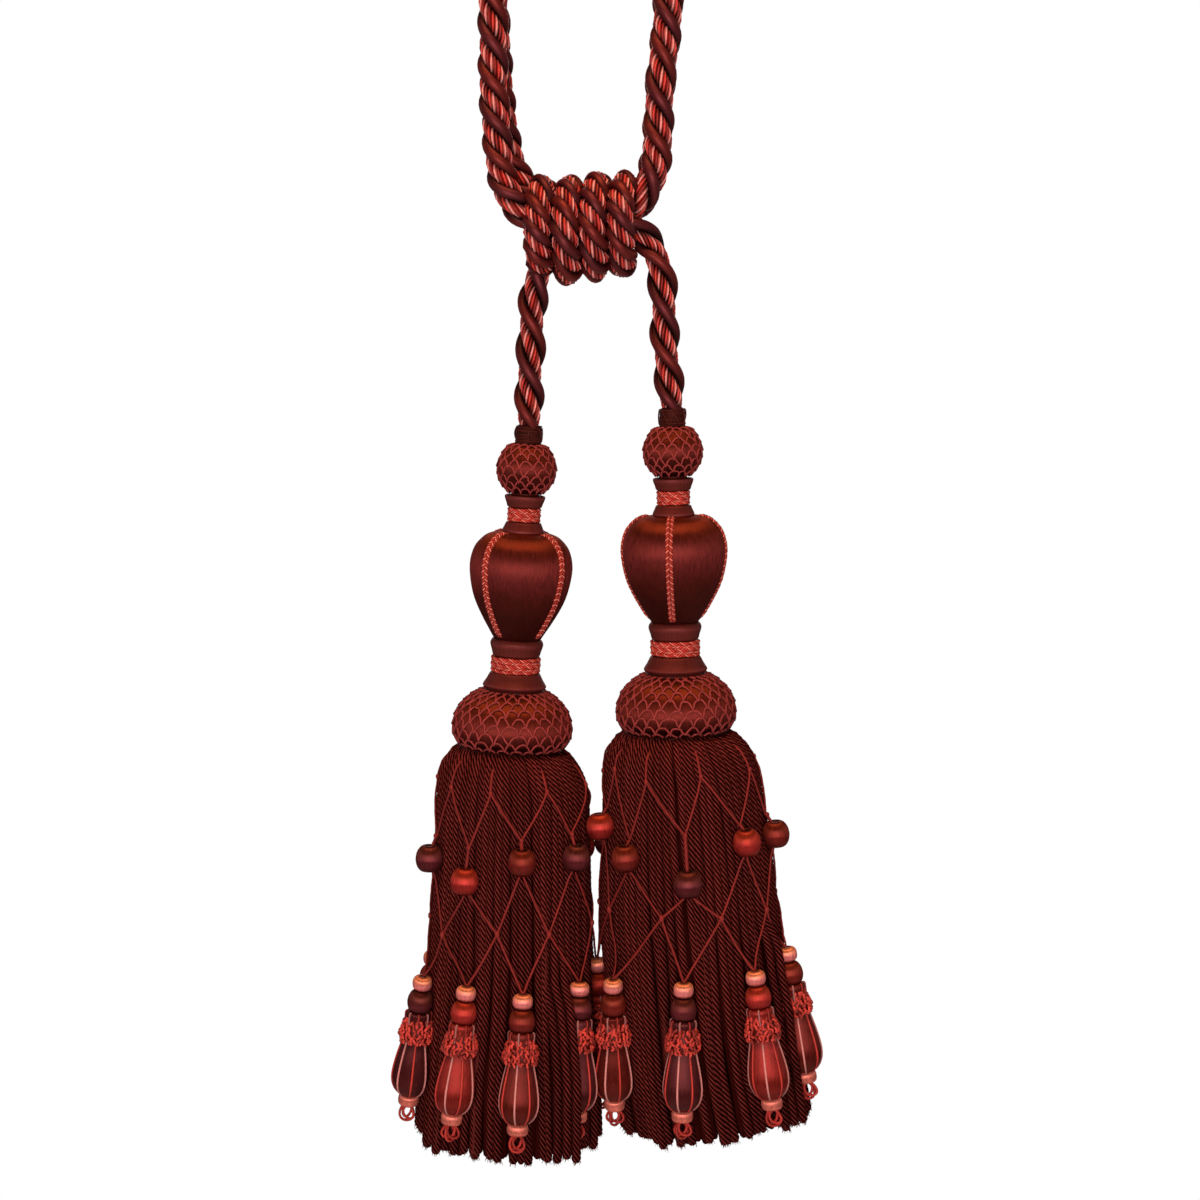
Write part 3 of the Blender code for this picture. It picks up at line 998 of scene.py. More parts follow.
# Where dark strands face straight out on the front of each turn, counted from the first turn.
KNOT_MARKS = (
    KnotMark(49.1, -1),
    KnotMark(84.8, 0),
    KnotMark(121.8, 1),
    KnotMark(420.8, 8),
    KnotMark(457.5, 9),
    KnotMark(501.8, 10),
    KnotMark(750.3, 16),
    KnotMark(784.7, 17),
    KnotMark(826.4, 18),
    KnotMark(1135.7, 25),
    KnotMark(1165.8, 26),
)


def knot():
    along = np.array((math.cos(KNOT_TILT), 0.0, math.sin(KNOT_TILT)))
    up = np.array((-math.sin(KNOT_TILT), 0.0, math.cos(KNOT_TILT)))
    front = np.array((0.0, -1.0, 0.0))
    a = np.radians(np.linspace(-105, 1325, 4000))
    u = 17.4 - TURN_PITCH * a / math.tau + 1.2 + 0.8 * np.cos(2 * a)
    drawn_in = 1.0 - 0.60 * np.maximum(0.0, (np.abs(u - 1.2) - 14.0) / (KNOT_HALF - 14.0)) ** 2.5
    last_top = 1.8 * np.exp(-(((a - math.radians(1080)) / 0.9) ** 2))
    out = up * np.cos(a)[:, None] + front * np.sin(a)[:, None]
    # Each end tucks in behind the turns.
    tuck_in = np.clip((a - math.radians(1195)) / 1.9, 0, 1) ** 2
    tuck_out = np.clip((math.radians(-15) - a) / 1.5, 0, 1) ** 2
    u = u + 5.0 * tuck_in - 4.0 * tuck_out
    radius = (TURN_R * drawn_in + last_top) * (1 - 0.5 * tuck_in - 0.3 * tuck_out)
    path = KNOT_CENTRE + along * u[:, None] + out * radius[:, None]
    length = arc(path)
    want = np.linspace(0, length[-1], int(length[-1] / (STEP * 1.02)))
    pick = np.interp(want, length, np.arange(len(path)))
    k = pick.round().astype(int)
    path, out, a = path[k], out[k], a[k]
    marks = np.array([(math.radians(m.degrees), -math.pi * m.half_turns) for m in KNOT_MARKS]).T
    slope = -math.pi / math.radians(41.0)
    at = np.concatenate([[marks[0][0] - 6], marks[0], [marks[0][-1] + 6]])
    turn = np.concatenate([[marks[1][0] - 6 * slope], marks[1], [marks[1][-1] + 6 * slope]])
    turn = softened(np.interp(a, at, turn), 7)
    dark, light = Shape(), Shape()
    strands(dark, light, path, out, turn, "knot", 31.0, 1)
    join_rope("knot_strands", dark, light, "wound_knot")
    # The arms run through the turns and fill them, as a core coloured in painted shade.
    inside = KNOT_CENTRE + along * np.array([-12.5, -12.2, -11.0, 0.0, 11.5, 12.8, 13.1])[:, None]
    _, n, b = frames(inside, front)
    section = circle(11.2, 20)[None] * np.array([0.5, 0.8, 1.0, 1.0, 1.0, 0.8, 0.5])[:, None, None]
    core = Shape()
    sweep(core, inside, n, b, section, SHADE * 1.3, 3.0, 0.5)
    core.make("knot_core", MATERIALS["fuzz"], slot="cord")


DROPS = {
    "left": (
        [(-9.0, 3.0, -143.0), (-15.0, 1.0, -149.5)],
        [
            (-18.0, 0, -159.6),
            (-19.2, 0, -168.0),
            (-19.6, 0, -177.0),
            (-20.1, 0, -189.0),
            (-20.5, 0, -201.0),
            (-20.7, 0, -215.3),
            (-20.8, 0, -219.0),
        ],
        (Mark(-155.8, 0), Mark(-173.9, 1), Mark(-193.5, 2), Mark(-211.0, 3)),
    ),
    "right": (
        [(11.0, -3.0, -133.5), (17.5, -3.5, -134.0), (23.4, -2.5, -138.2)],
        [
            (27.9, 0, -144.0),
            (30.6, 0, -150.6),
            (32.0, 0, -157.4),
            (32.7, 0, -166.0),
            (33.0, 0, -177.0),
            (34.0, 0, -189.0),
            (35.3, 0, -200.0),
            (36.2, 0, -208.5),
            (36.5, 0, -212.0),
        ],
        (Mark(-149.6, 1), Mark(-168.3, 2), Mark(-187.4, 3), Mark(-206.3, 4)),
    ),
}


def drops():
    for side, (before, route, marks) in DROPS.items():
        path = smooth_line(before + route, STEP)
        length = arc(path)
        rows = sorted(
            (length[np.abs(path[:, 2] - m.height).argmin()], -math.pi * m.half_turns) for m in marks
        )
        at, turn = np.array(rows).T
        slope = -math.tau / FORMS["drop"].lay
        at = np.concatenate([[at[0] - 100], at, [at[-1] + 100]])
        turn = np.concatenate([[turn[0] - 100 * slope], turn, [turn[-1] + 100 * slope]])
        turn = softened(np.interp(length, at, turn), 11)
        slim = np.interp(length[-1] - length, [0, 3.5, 8.5], [0.70, 0.78, 1.0])
        dark, light = Shape(), Shape()
        order = -1 if side == "left" else 1
        ref = np.array((0.0, -1.0, 0.0))
        strands(dark, light, path, ref, turn, "drop", 61.0 + 3 * (side == "left"), order, slim)
        piece = join_rope("drop_%s_strands" % side, dark, light, "rope_drop_" + side)


# ---------------------------------------------------------------- twisted cords


def twisted(shape, path, ref, radius, lay, tints, seed, yarns=3, hand=-1, closed=False, turns=None, start=0.0):
    """A cord of a few yarns. Down the viewer's side, hand -1 slopes them down to the right."""
    _, n, b = frames(path, ref) if not closed else closed_frames(path, ref)
    length = arc(path)
    if closed:
        step = np.linalg.norm(path[0] - path[-1])
        spin = hand * math.tau * turns * length / (length[-1] + step) + start
    else:
        spin = hand * math.tau * length / lay + start
    profile = twist_profile(radius, yarns, 3, 0.30)
    section = turned_section(profile, spin)
    k = np.arange(len(profile))
    colours = np.array([tints[int(v) % len(tints)] for v in np.round(k / 3)])
    sweep(shape, path, n, b, section, colours[None], seed, 0.2, closed, yarns=yarns)


def closed_frames(points, ref):
    along = unit(np.roll(points, -1, 0) - np.roll(points, 1, 0))
    ref = np.broadcast_to(ref, points.shape)
    first = unit(ref - dot(ref, along) * along)
    return along, first, np.cross(along, first)


# ---------------------------------------------------------------- heads


def binding(side, axis):
    shape = Shape()
    # A plain core under the whipping, then the thread's rows.
    core = np.array([(4.0, 130.8), (4.8, 130.2), (4.8, 126.5), (4.8, 123.6), (4.0, 123.2)])
    lathe(shape, axis.top, axis.up, axis.out, core, 24, WHIPPING * 0.5, 3.0, "round")
    rows = 11
    t = np.linspace(0, rows, rows * 20)
    rng = np.random.default_rng(5 if side == "left" else 6)
    rough = softened(rng.normal(0, 0.22, len(t)), 9)
    lift = softened(rng.normal(0, 0.30, len(t)), 15)
    a = math.tau * t
    path = axis.at(4.95 + rough, a, 130.4 - 0.64 * t + lift)
    # Turns that stand further out are painted lighter, and sunk ones darker, as painted light and shade.
    tint = WHIPPING * (0.7 + 0.8 * np.clip(rough * 2 + 0.3, 0, 1))[:, None, None]
    _, n, b = frames(path, axis.out(a))
    sweep(shape, path, n, b, circle(0.38, 5), tint, 8.0)
    # A few stitches cross the rows.
    for k in range(9):
        t = np.linspace(0, 1, 12)
        a = 0.75 * k + rng.uniform(-0.2, 0.2) + t * rng.uniform(-0.9, 0.9)
        path = axis.at(5.25 + 0.25 * np.sin(math.pi * t), a, 129.8 - 5.6 * t)
        _, n, b = frames(path, axis.out(a))
        sweep(shape, path, n, b, circle(0.30, 5), WHIPPING * rng.uniform(0.9, 1.5), 9.0)
    shape.make(side + "_whipping", MATERIALS["net"], side + "_binding", slot="rope")


def net(shape, axis, outline, around, rows, low, high, thread, seed, inset=0.0):
    """Rows of small arches, each standing on the tops of the row below, over a turned form."""
    line, normal = fine_outline(outline, 10, inset)
    length = np.concatenate([[0], np.cumsum(np.linalg.norm(np.diff(line, axis=0), axis=1))])
    rng = np.random.default_rng(seed)
    per = 8
    for j in range(rows):
        top = low + (high - low) * j / rows
        bottom = low + (high - low) * (j + 1) / rows
        t = np.arange(around * per) / per
        within = t % 1.0
        arch = 1 - np.abs(2 * within - 1) ** 2.7
        foot = np.exp(-((np.minimum(within, 1 - within) / 0.10) ** 2))
        jitter_a = softened(rng.normal(0, 0.16, len(t)), 7)
        jitter_d = softened(rng.normal(0, 0.16, len(t)), 7) * (bottom - top)
        down = (bottom - (bottom - top) * 1.06 * arch + jitter_d) * length[-1]
        a = math.tau * (t + 0.5 * (j % 2) + jitter_a) / around
        radius = np.interp(down, length, line[:, 0])
        height = np.interp(down, length, line[:, 1])
        nr = np.interp(down, length, normal[:, 0])
        nh = np.interp(down, length, normal[:, 1])
        over = thread * (0.35 + 0.75 * foot)
        path = axis.at(radius + nr * over, a, height + nh * over)
        out = axis.out(a) * nr[:, None] + axis.up * nh[:, None]
        _, n, b = closed_frames(path, out)
        # The lowest part of a thread lies against the satin and is painted darkest, as painted shade.
        faces = 0.62 + 0.38 * np.cos(math.tau * np.arange(6) / 6)
        tint = NET * (0.80 + 0.40 * rng.random(len(t)))[:, None, None] * faces[None, :, None]
        thick = thread * (1 + 0.42 * foot)
        section = circle(1.0, 6)[None] * thick[:, None, None]
        sweep(shape, path, n, b, section, tint, seed + j, 0.3, True)


def satin_form(side, axis, name, outline, parts, sides, tint, material, node, slot, inset=0.0, seed=0.0):
    shape = Shape()
    line, _ = fine_outline(outline, parts, inset)
    lathe(shape, axis.top, axis.up, axis.out, line, sides, tint, seed)
    shape.make(side + "_" + name, MATERIALS[material], *node, slot=slot)


# A gimp band's cords from the top down: height, colour, and which way the yarns slope.
GimpRow = namedtuple("GimpRow", "share colour hand")
GIMP_ROWS = (
    GimpRow(1.40, 0, 1),
    GimpRow(1.12, 1, -1),
    GimpRow(1.48, 0, 1),
    GimpRow(1.02, 1, -1),
    GimpRow(1.30, 0, 1),
)
# The colours of the plies in each kind of cord.
GIMP_PLIES = ((GIMP[0], GIMP[1], GIMP[0] * 0.75), (GIMP[1], GIMP[0], GIMP[1] * 0.85))
RIB_PLIES = (GIMP[1] * 0.84, GIMP[0] * 0.6)
RibCord = namedtuple("RibCord", "radius across lift colour hand")
RIB_CORDS = (
    RibCord(0.80, -0.74, 0.10, 0, 1),
    RibCord(0.80, 0.74, 0.10, 1, -1),
)


def gimp_band(side, axis, name, top, bottom, radius, wobble, seed):
    shape = Shape()
    total = sum(r.share for r in GIMP_ROWS)
    at = 0.0
    a = math.tau * np.arange(112) / 112
    # A bed dark with painted shade fills the grooves between the cords.
    bed = [(radius - 0.5, top - 0.2), (radius - 0.25, top - 0.8), (radius - 0.25, bottom + 0.8), (radius - 0.5, bottom + 0.2)]
    lathe(shape, axis.top, axis.up, axis.out, np.array(bed), 40, GIMP[0] * 0.10, seed, "round")
    for number, row in enumerate(GIMP_ROWS):
        tall = row.share / total * (top - bottom)
        sag = wobble * np.sin(a + seed + number * 0.3) * number / len(GIMP_ROWS)
        height = top - at - tall / 2 + sag + 0.08 * np.sin(5 * a + seed + number)
        path = axis.at(np.full_like(a, radius), a, height)
        twisted(
            shape,
            path,
            axis.out(a),
            tall * 0.60,
            4.2,
            GIMP_PLIES[row.colour],
            seed + number,
            hand=row.hand,
            closed=True,
            turns=round(math.tau * radius / 4.2),
            start=number,
        )
        at += tall
    shape.make("%s_%s_cords" % (side, name), MATERIALS["gimp"], "%s_%s" % (side, name), slot="gimp")


def ribs(side, axis):
    line, normal = fine_outline(URN, 12)
    keep = (line[:, 1] > 45.9) & (line[:, 0] > 8.2)
    line, normal = line[keep], normal[keep]
    for k, angle in enumerate(RIB_ANGLES[side]):
        shape = Shape()
        a = math.radians(angle)
        way = axis.round(np.array(a))
        out = axis.out(np.array(a)) * normal[:, :1] + axis.up * normal[:, 1:]
        spine = axis.at(line[:, 0], np.full(len(line), a), line[:, 1])
        for cord in RIB_CORDS:
            # Both ends go in under the flanges.
            near_end = np.minimum(arc(spine), arc(spine)[-1] - arc(spine))
            sunk = 0.9 * np.clip(1 - near_end / 3.5, 0, 1)[:, None] ** 2
            path = spine + way * cord.across + out * (cord.lift - sunk)
            fine = resample(path, 0.5)
            share = arc(path) * arc(fine)[-1] / arc(path)[-1]
            near = np.stack([np.interp(arc(fine), share, out[:, i]) for i in range(3)], 1)
            twisted(shape, fine, near, cord.radius, 2.4, RIB_PLIES, k + cord.across, 2, hand=cord.hand, start=1.5 * cord.colour)
        # The stitched bed under the cords, dark with painted shade.
        _, n, b = frames(spine, out)
        bed = np.array([(0.05, 1.2), (0.05, -1.2), (-0.8, -1.8), (-0.8, 1.8)])
        sweep(shape, spine, n, b, bed, GIMP[0] * 0.22, 2.0)
        shape.make("%s_rib_%d_cords" % (side, k + 1), MATERIALS["gimp"], "%s_rib_%d" % (side, k + 1), slot="gimp")


def painted_highlight_band(line, height, colour, width=0.5):
    """A painted highlight for each row, warmer near one height."""
    near = np.exp(-(((line[:, 1] - height) / width) ** 2))[:, None]
    return near * colour


def flange_with_painted_rims(line, heights):
    """Dark satin with painted highlights on the edges of its flanges."""
    rows = np.repeat(SATIN["collar"][None], len(line), 0)
    for height in heights:
        rows = rows + painted_highlight_band(line, height, rgb(66, 24, 26), 0.5)
    return rows[:, None]


# Painted light and shade by height, as factors for red, green and blue: warmer tops as under the warm top lamp, a
# painted highlight band, and painted shade low down.
Tint = namedtuple("Tint", "height red green blue")
URN_PAINTED_LIGHT = (
    Tint(88.0, 1.2, 1.6, 0.8),
    Tint(83.0, 1.2, 1.4, 0.9),
    Tint(79.0, 1.15, 1.15, 1.25),
    Tint(73.0, 1.4, 1.45, 1.9),
    Tint(67.0, 1.15, 1.2, 1.5),
    Tint(61.0, 0.62, 0.6, 0.65),
    Tint(54.0, 0.40, 0.38, 0.32),
    Tint(45.0, 0.34, 0.32, 0.24),
)
CUSHION_PAINTED_LIGHT = (
    Tint(25.0, 0.6, 0.7, 0.4),
    Tint(20.0, 1.2, 1.7, 0.8),
    Tint(15.0, 1.25, 1.35, 1.2),
    Tint(9.5, 1.35, 1.4, 1.9),
    Tint(6.0, 0.7, 0.7, 0.8),
    Tint(3.5, 0.25, 0.22, 0.25),
    Tint(0.0, 0.15, 0.12, 0.15),
)
BALL_PAINTED_LIGHT = (
    Tint(124.0, 0.7, 0.8, 0.5),
    Tint(119.5, 1.2, 1.6, 0.9),
    Tint(114.0, 1.1, 1.1, 1.3),
    Tint(109.0, 0.5, 0.48, 0.5),
    Tint(103.0, 0.28, 0.25, 0.25),
)


# These two are measured down from the top of the bead.
SALMON_PAINTED_LIGHT = (
    Tint(0.0, 1.00, 1.20, 0.75),
    Tint(2.0, 0.97, 1.15, 0.85),
    Tint(3.6, 1.15, 1.32, 1.80),
    Tint(4.9, 0.98, 0.92, 1.15),
    Tint(6.4, 0.60, 0.50, 0.60),
)
BEAD_PAINTED_LIGHT = (
    Tint(0.0, 0.95, 1.15, 0.70),
    Tint(3.2, 0.95, 1.12, 0.72),
    Tint(5.5, 1.22, 1.25, 1.50),
    Tint(7.4, 0.85, 0.80, 0.90),
    Tint(10.0, 0.52, 0.46, 0.52),
)


def painted_light_by_height(line, colour, table):
    """The colour for each row of a turned line, with painted light and shade that change by height."""
    rows = np.array(sorted(table))
    return (colour * np.stack([np.interp(line[:, 1], rows[:, 0], rows[:, i]) for i in (1, 2, 3)], 1))[:, None]


def head(side):
    axis = Axis(HEADS[side])
    seed = 10 if side == "left" else 40
    binding(side, axis)
    # The ball, urn and cushion carry painted light and shade by height.
    line, _ = fine_outline(BALL, 8, 1.0)
    satin_form(side, axis, "ball_mould", BALL, 8, 56, painted_light_by_height(line, SATIN["mould"], BALL_PAINTED_LIGHT), "satin", [side + "_ball"], "net", 1.0, seed)
    shape = Shape()
    net(shape, axis, BALL, 14, 8, 0.03, 0.97, 0.37, seed + 1, 0.95)
    stem = np.array([(4.0, 106.5), (5.2, 106.0), (5.6, 103.6), (5.6, 102.4), (4.0, 102.2)])
    lathe(shape, axis.top, axis.up, axis.out, stem, 24, SATIN["mould"] * 0.4, 3.0, "round")
    shape.make(side + "_ball_net", MATERIALS["net"], slot="net")
    line, _ = fine_outline(COLLAR, 4)
    satin_form(side, axis, "collar_wound", COLLAR, 4, 44, flange_with_painted_rims(line, (101.6, 88.4)), "dark_satin", [side + "_collar"], "collar", 0.0, seed + 2)
    gimp_band(side, axis, "collar_gimp", 97.7, 92.4, 6.1, 0.12, seed + 3)
    line, _ = fine_outline(URN, 6)
    satin_form(side, axis, "urn_wound", URN, 6, 88, painted_light_by_height(line, SATIN["urn"], URN_PAINTED_LIGHT), "satin", [side + "_urn"], "satin", 0.0, seed + 4)
    ribs(side, axis)
    line, _ = fine_outline(FOOT, 4)
    satin_form(side, axis, "foot_wound", FOOT, 4, 52, flange_with_painted_rims(line, (42.6, 26.6)), "dark_satin", [side + "_foot"], "collar", 0.0, seed + 5)
    gimp_band(side, axis, "foot_gimp", 37.9, 32.0, 9.35, 0.35, seed + 6)
    line, _ = fine_outline(CUSHION, 6, 1.1)
    satin_form(side, axis, "cushion_mould", CUSHION, 6, 64, painted_light_by_height(line, SATIN["mould"], CUSHION_PAINTED_LIGHT), "satin", [side + "_cushion"], "net", 1.1, seed + 7)
    shape = Shape()
    net(shape, axis, CUSHION, 24, 9, 0.02, 0.985, 0.43, seed + 8, 0.95)
    stem = np.array([(9.0, 26.2), (11.0, 25.6), (11.8, 24.6), (11.8, 23.2), (9.0, 22.6)])
    lathe(shape, axis.top, axis.up, axis.out, stem, 32, SATIN["mould"] * 0.3, 3.0, "round")
    # The shadowed seat of the cushion on the skirt.
    seat = np.array([(17.0, 2.2), (20.2, 1.7), (20.9, 0.9), (20.6, 0.0), (17.0, -0.6)])
    lathe(shape, axis.top, axis.up, axis.out, seat, 48, SATIN["mould"] * 0.15, 3.0, "round")
    shape.make(side + "_cushion_net", MATERIALS["net"], slot="net")


# ---------------------------------------------------------------- skirts


class Skirt:
    """The places on one skirt's surface. Its top follows the head it hangs from."""

    def __init__(self, side):
        self.side_name = side
        self.axis = Axis(SKIRTS[side])
        self.head = Axis(HEADS[side])
        rows = np.array([(r.down, r.radius, r.shift) for r in SKIRT_ROWS[side]])
        self.downs, self.radii, self.shifts = rows.T

    def own(self, down):
        """How far the skirt hangs by itself there, from 0 under the head to 1."""
        t = np.clip(np.asarray(down, float) / 18.0, 0, 1)[..., None]
        return t * t * (3 - 2 * t)

    def centre(self, down):
        down = np.asarray(down, float)
        shift = np.interp(down, self.downs, self.shifts)
        own = self.own(down)
        below = self.axis.top - self.axis.up * down[..., None] + self.axis.side * shift[..., None]
        above = self.head.top - self.head.up * down[..., None]
        return below * own + above * (1 - own)

    def radius(self, down):
        return np.interp(down, self.downs, self.radii)

    def out(self, angle_deg, down):
        a = np.radians(angle_deg)
        own = self.own(down)
        return unit(self.axis.out(a) * own + self.head.out(a) * (1 - own))

    def at(self, angle_deg, down, out):
        """The point that far proud of the skirt's rows."""
        radius = np.asarray(self.radius(down) + out)[..., None]
        return self.centre(down) + self.out(angle_deg, down) * radius


PENDANT_ROWS = np.array(
    [(0, 2.6), (3.4, 3.7), (11.6, 5.1), (18.6, 5.0), (25, 6.9), (30, 5.2), (43.6, 8.3), (53, 4.2), (62.5, 3.9)]
)


def pendant_line(skirt, pendant):
    top = skirt.at(pendant.angle_top, pendant.down, pendant.out)
    bottom = skirt.at(pendant.angle_bottom, pendant.down + PENDANT_L, pendant.out)
    return top, bottom


def cord_line(skirt, angle, down, size, obstacles):
    """The centreline of one hanging cord: on the skirt's rows, and pressed in by what hangs on
    it. angle is in degrees at each depth."""
    centre = skirt.centre(down)
    way = skirt.out(angle, down)
    radius = skirt.radius(down) - size
    for kind, top, bottom in obstacles:
        if kind == "bead":
            off = top - centre
            near = dot(off, way)[:, 0]
            room = (5.6 + size) ** 2 - ((off**2).sum(-1) - near**2)
            hit = (near > 0) & (room > 0)
            radius = np.where(hit, np.minimum(radius, near - np.sqrt(np.maximum(room, 0))), radius)
            continue
        run = unit(bottom - top)
        depth = dot(centre - top, skirt.axis.up)[:, 0] / float(run @ skirt.axis.up)
        wide = np.interp(np.clip(depth, 0, PENDANT_L), PENDANT_ROWS[:, 0], PENDANT_ROWS[:, 1]) + size + 0.2
        middle = top + run * depth[:, None] - centre
        near = dot(middle, way)[:, 0]
        room = wide**2 - ((middle**2).sum(-1) - near**2)
        hit = (near > 0) & (room > 0) & (depth > -3) & (depth < PENDANT_L + 3)
        root = np.sqrt(np.maximum(room, 0))
        radius = np.where(hit, np.minimum(radius, near - root), radius)
    return centre, way, radius


def covering(skirt, path, pendant, rank, size):
    """path moved to fall in front of a pendant. rank counts cords to the left of the last one."""
    top, bottom = pendant_line(skirt, pendant)
    run = unit(bottom - top)
    depth = dot(path - top, skirt.axis.up)[:, 0] / float(run @ skirt.axis.up)
    middle = top + run * depth[:, None]
    side, front = skirt.axis.side, skirt.axis.front
    t = np.clip((depth + 18.0) / 18.0, 0, 1)
    grown = t * t * (3 - 2 * t)
    goal = np.interp(depth, COVER_DEPTHS, COVERS[skirt.side_name].row) - 3.75 * rank
    now = dot(path - middle, side)[:, 0]
    path = path + side * ((goal - now) * grown)[:, None]
    wide = np.interp(np.clip(depth, 0, PENDANT_L), PENDANT_ROWS[:, 0], PENDANT_ROWS[:, 1]) + size
    across = dot(path - middle, side)[:, 0]
    forward = dot(path - middle, front)[:, 0]
    need = np.sqrt(np.maximum(wide**2 - across**2, 0)) + 0.3 * rank
    push = np.where(wide > np.abs(across), np.maximum(need - forward, 0), 0) * (depth > -4)
    push = np.maximum(softened(push, 11), softened(push, 7))
    return path + front * push[:, None]


CORDS = 66
CORD_R = 1.72
CORD_YARNS = 6
# The first part of each cord, under the cushion: depth and distance from the axis.
UNDER = ((0.35, 14.0), (0.45, 17.2))
# The round end of a cord: distance from its tip, and thickness.
TIP = ((2.3, 1.0), (1.3, 0.93), (0.6, 0.74), (0.15, 0.42))
Cover = namedtuple("Cover", "from_deg to_deg row")
# Which cords fall in front of a covered pendant, by their place round the skirt, and how far to
# the viewer's right of the pendant's axis the last of them runs, at depths below its top.
COVER_DEPTHS = (0, 10, 22, 40, 62)
COVERS = {
    "left": Cover(27.5, 43.5, (-6.2, -3.6, -1.9, -0.1, 0.3)),
    "right": Cover(49.0, 60.0, (-3.4, -3.7, -3.2, -3.9, -4.0)),
}
# Depth and radius of the cone in painted shade behind the cords' upper ends.
CONE = ((-0.4, 12.0), (-0.4, 18.5), (0.1, 20.9), (1.2, 22.4), (2.6, 23.5), (6.0, 25.7), (11.0, 27.7), (18.0, 28.5), (28.0, 28.6))


def skirt_cords(side):
    skirt = Skirt(side)
    rng = np.random.default_rng(101 if side == "left" else 202)
    obstacles = []
    for name in PENDANTS:
        other = skirt if name == side else Skirt(name)
        for pendant in PENDANTS[name]:
            top, bottom = pendant_line(other, pendant)
            obstacles.append(("pendant", top, bottom))
        for bead in BEADS[name]:
            obstacles.append(("bead", other.at(bead.angle, bead.down, 3.4), None))
    covered = [k for k, pendant in enumerate(PENDANTS[side]) if pendant.over][0]
    cover_at = (0 if side == "left" else len(PENDANTS["left"]) + len(BEADS["left"])) + covered
    last = math.floor(COVERS[side].to_deg * CORDS / 360.0 - 0.5)
    phase = rng.uniform(0, math.tau, 6)
    halves = {"front": Shape(), "back": Shape()}
    fuzz = Shape()
    for k in range(CORDS):
        base = 360.0 * (k + 0.5) / CORDS + rng.normal(0, 0.5)
        a = math.radians(base)
        end = 158.8 + rng.normal(0, 1.1) + 0.9 * math.sin(5 * a + phase[5])
        pitch = 1.72 if math.cos(a) > -0.2 else 2.0
        down = np.linspace(1.4, end - TIP[0][0], int((end - 1.4) / pitch))
        down = np.concatenate([[0.0, 0.5], down, [end - d for d, _ in TIP[1:]]])
        loose = np.clip((down - 25) / 105.0, 0, 1) ** 1.5
        bunch = 3.0 * math.sin(9 * a + phase[0]) + 2.2 * math.sin(15 * a + phase[1]) + 1.6 * math.sin(23 * a + phase[2])
        sway = 0.8 * np.sin(down / 19.0 + phase[3] + 3 * a) * np.clip((down - 12) / 50, 0, 1)
        angle = base + bunch * loose + sway * 0.9 + rng.normal(0, 0.8) * loose
        size = CORD_R * rng.uniform(0.95, 1.07)
        covers = COVERS[side].from_deg < 360.0 * (k + 0.5) / CORDS < COVERS[side].to_deg
        mine = [each for at, each in enumerate(obstacles) if not (covers and at == cover_at)]
        centre, way, radius = cord_line(skirt, angle, down, size, mine)
        gathered = np.clip(1 - down / 16.0, 0, 1) * np.clip(down / 3.0, 0, 1)
        radius = radius + gathered * (0.5 if k % 2 else -0.5)
        radius = radius + loose * rng.normal(0, 0.55) - 0.5 * loose * abs(bunch) * 0.2
        radius = softened(radius, 7)
        # Out from under the cushion in a tight bend.
        bend = np.interp(down, [0.0, 0.5, 1.4, 2.7], [14.0, 18.0, 21.5, 99.0]) - 0.3 * (k % 2)
        radius = np.minimum(radius, bend)
        sink = np.interp(down, [0.0, 0.5, 1.4, 3.0, 6.0, 12.0], [0.9, 0.2, -1.1, -1.3, -0.8, 0.0])
        path = centre + way * radius[:, None] - skirt.head.up * sink[:, None]
        if covers:
            path = covering(skirt, path, PENDANTS[side][covered], last - k, size * 1.1)
        spin = -math.tau * arc(path) / rng.uniform(13.6, 14.6) + rng.uniform(0, 6)
        shade = rng.uniform(0.82, 1.16)
        profile = twist_profile(size, CORD_YARNS, 2, 0.16)
        section = turned_section(profile, spin) * (1 + 0.13 * loose)[:, None, None]
        for back, (_, scale) in enumerate(reversed(TIP)):
            section[-1 - back] *= scale
        _, n, b = frames(path, way)
        # Cords hide each other's light: only what faces outwards is in full light, and the rest is painted in shade.
        # The cords are also painted darker just under the cushion and towards their ends, as painted shade.
        facing = np.cos(spin[:, None] + profile[None, :, 0])
        open_face = 0.70 + 0.30 * np.clip(facing + 0.5, 0, 1)
        tints = CORD * shade * open_face[..., None] * np.interp(down, [0, 1.5, 4, 9, 60, 158], [0.7, 1.05, 1.1, 1.0, 1.0, 0.72])[:, None, None]
        half = "front" if math.cos(a) > 0 else "back"
        sweep(halves[half], path, n, b, section, tints, rng.uniform(0, 50), 0.10, yarns=CORD_YARNS)
        # Short broken filaments hang from the end.
        tail = path[-1]
        for _ in range(18):
            spread = unit(rng.normal(0, 1, 3) * (1, 1, 0)) * size * 0.95
            lean = rng.normal(0, 0.35, 3) * (1, 1, 0)
            root = tail + spread * rng.uniform(0.2, 1.0) + (0, 0, rng.uniform(0.6, 1.6))
            hair = np.array([root, root + spread * 0.25 + lean + (0, 0, -rng.uniform(0.9, 1.9))])
            _, n2, b2 = frames(hair, unit(rng.normal(0, 1, 3)))
            thin = circle(1.0, 3)[None] * np.array([0.17, 0.07])[:, None, None]
            sweep(fuzz, hair, n2, b2, thin, CORD * rng.uniform(0.3, 0.9), 1.0, ends=False)
    halves["front"].make(side + "_skirt_front", MATERIALS["cord"], side + "_skirt", slot="cord")
    halves["back"].make(side + "_skirt_back", MATERIALS["cord"], side + "_skirt", slot="cord")

    inner = Shape()
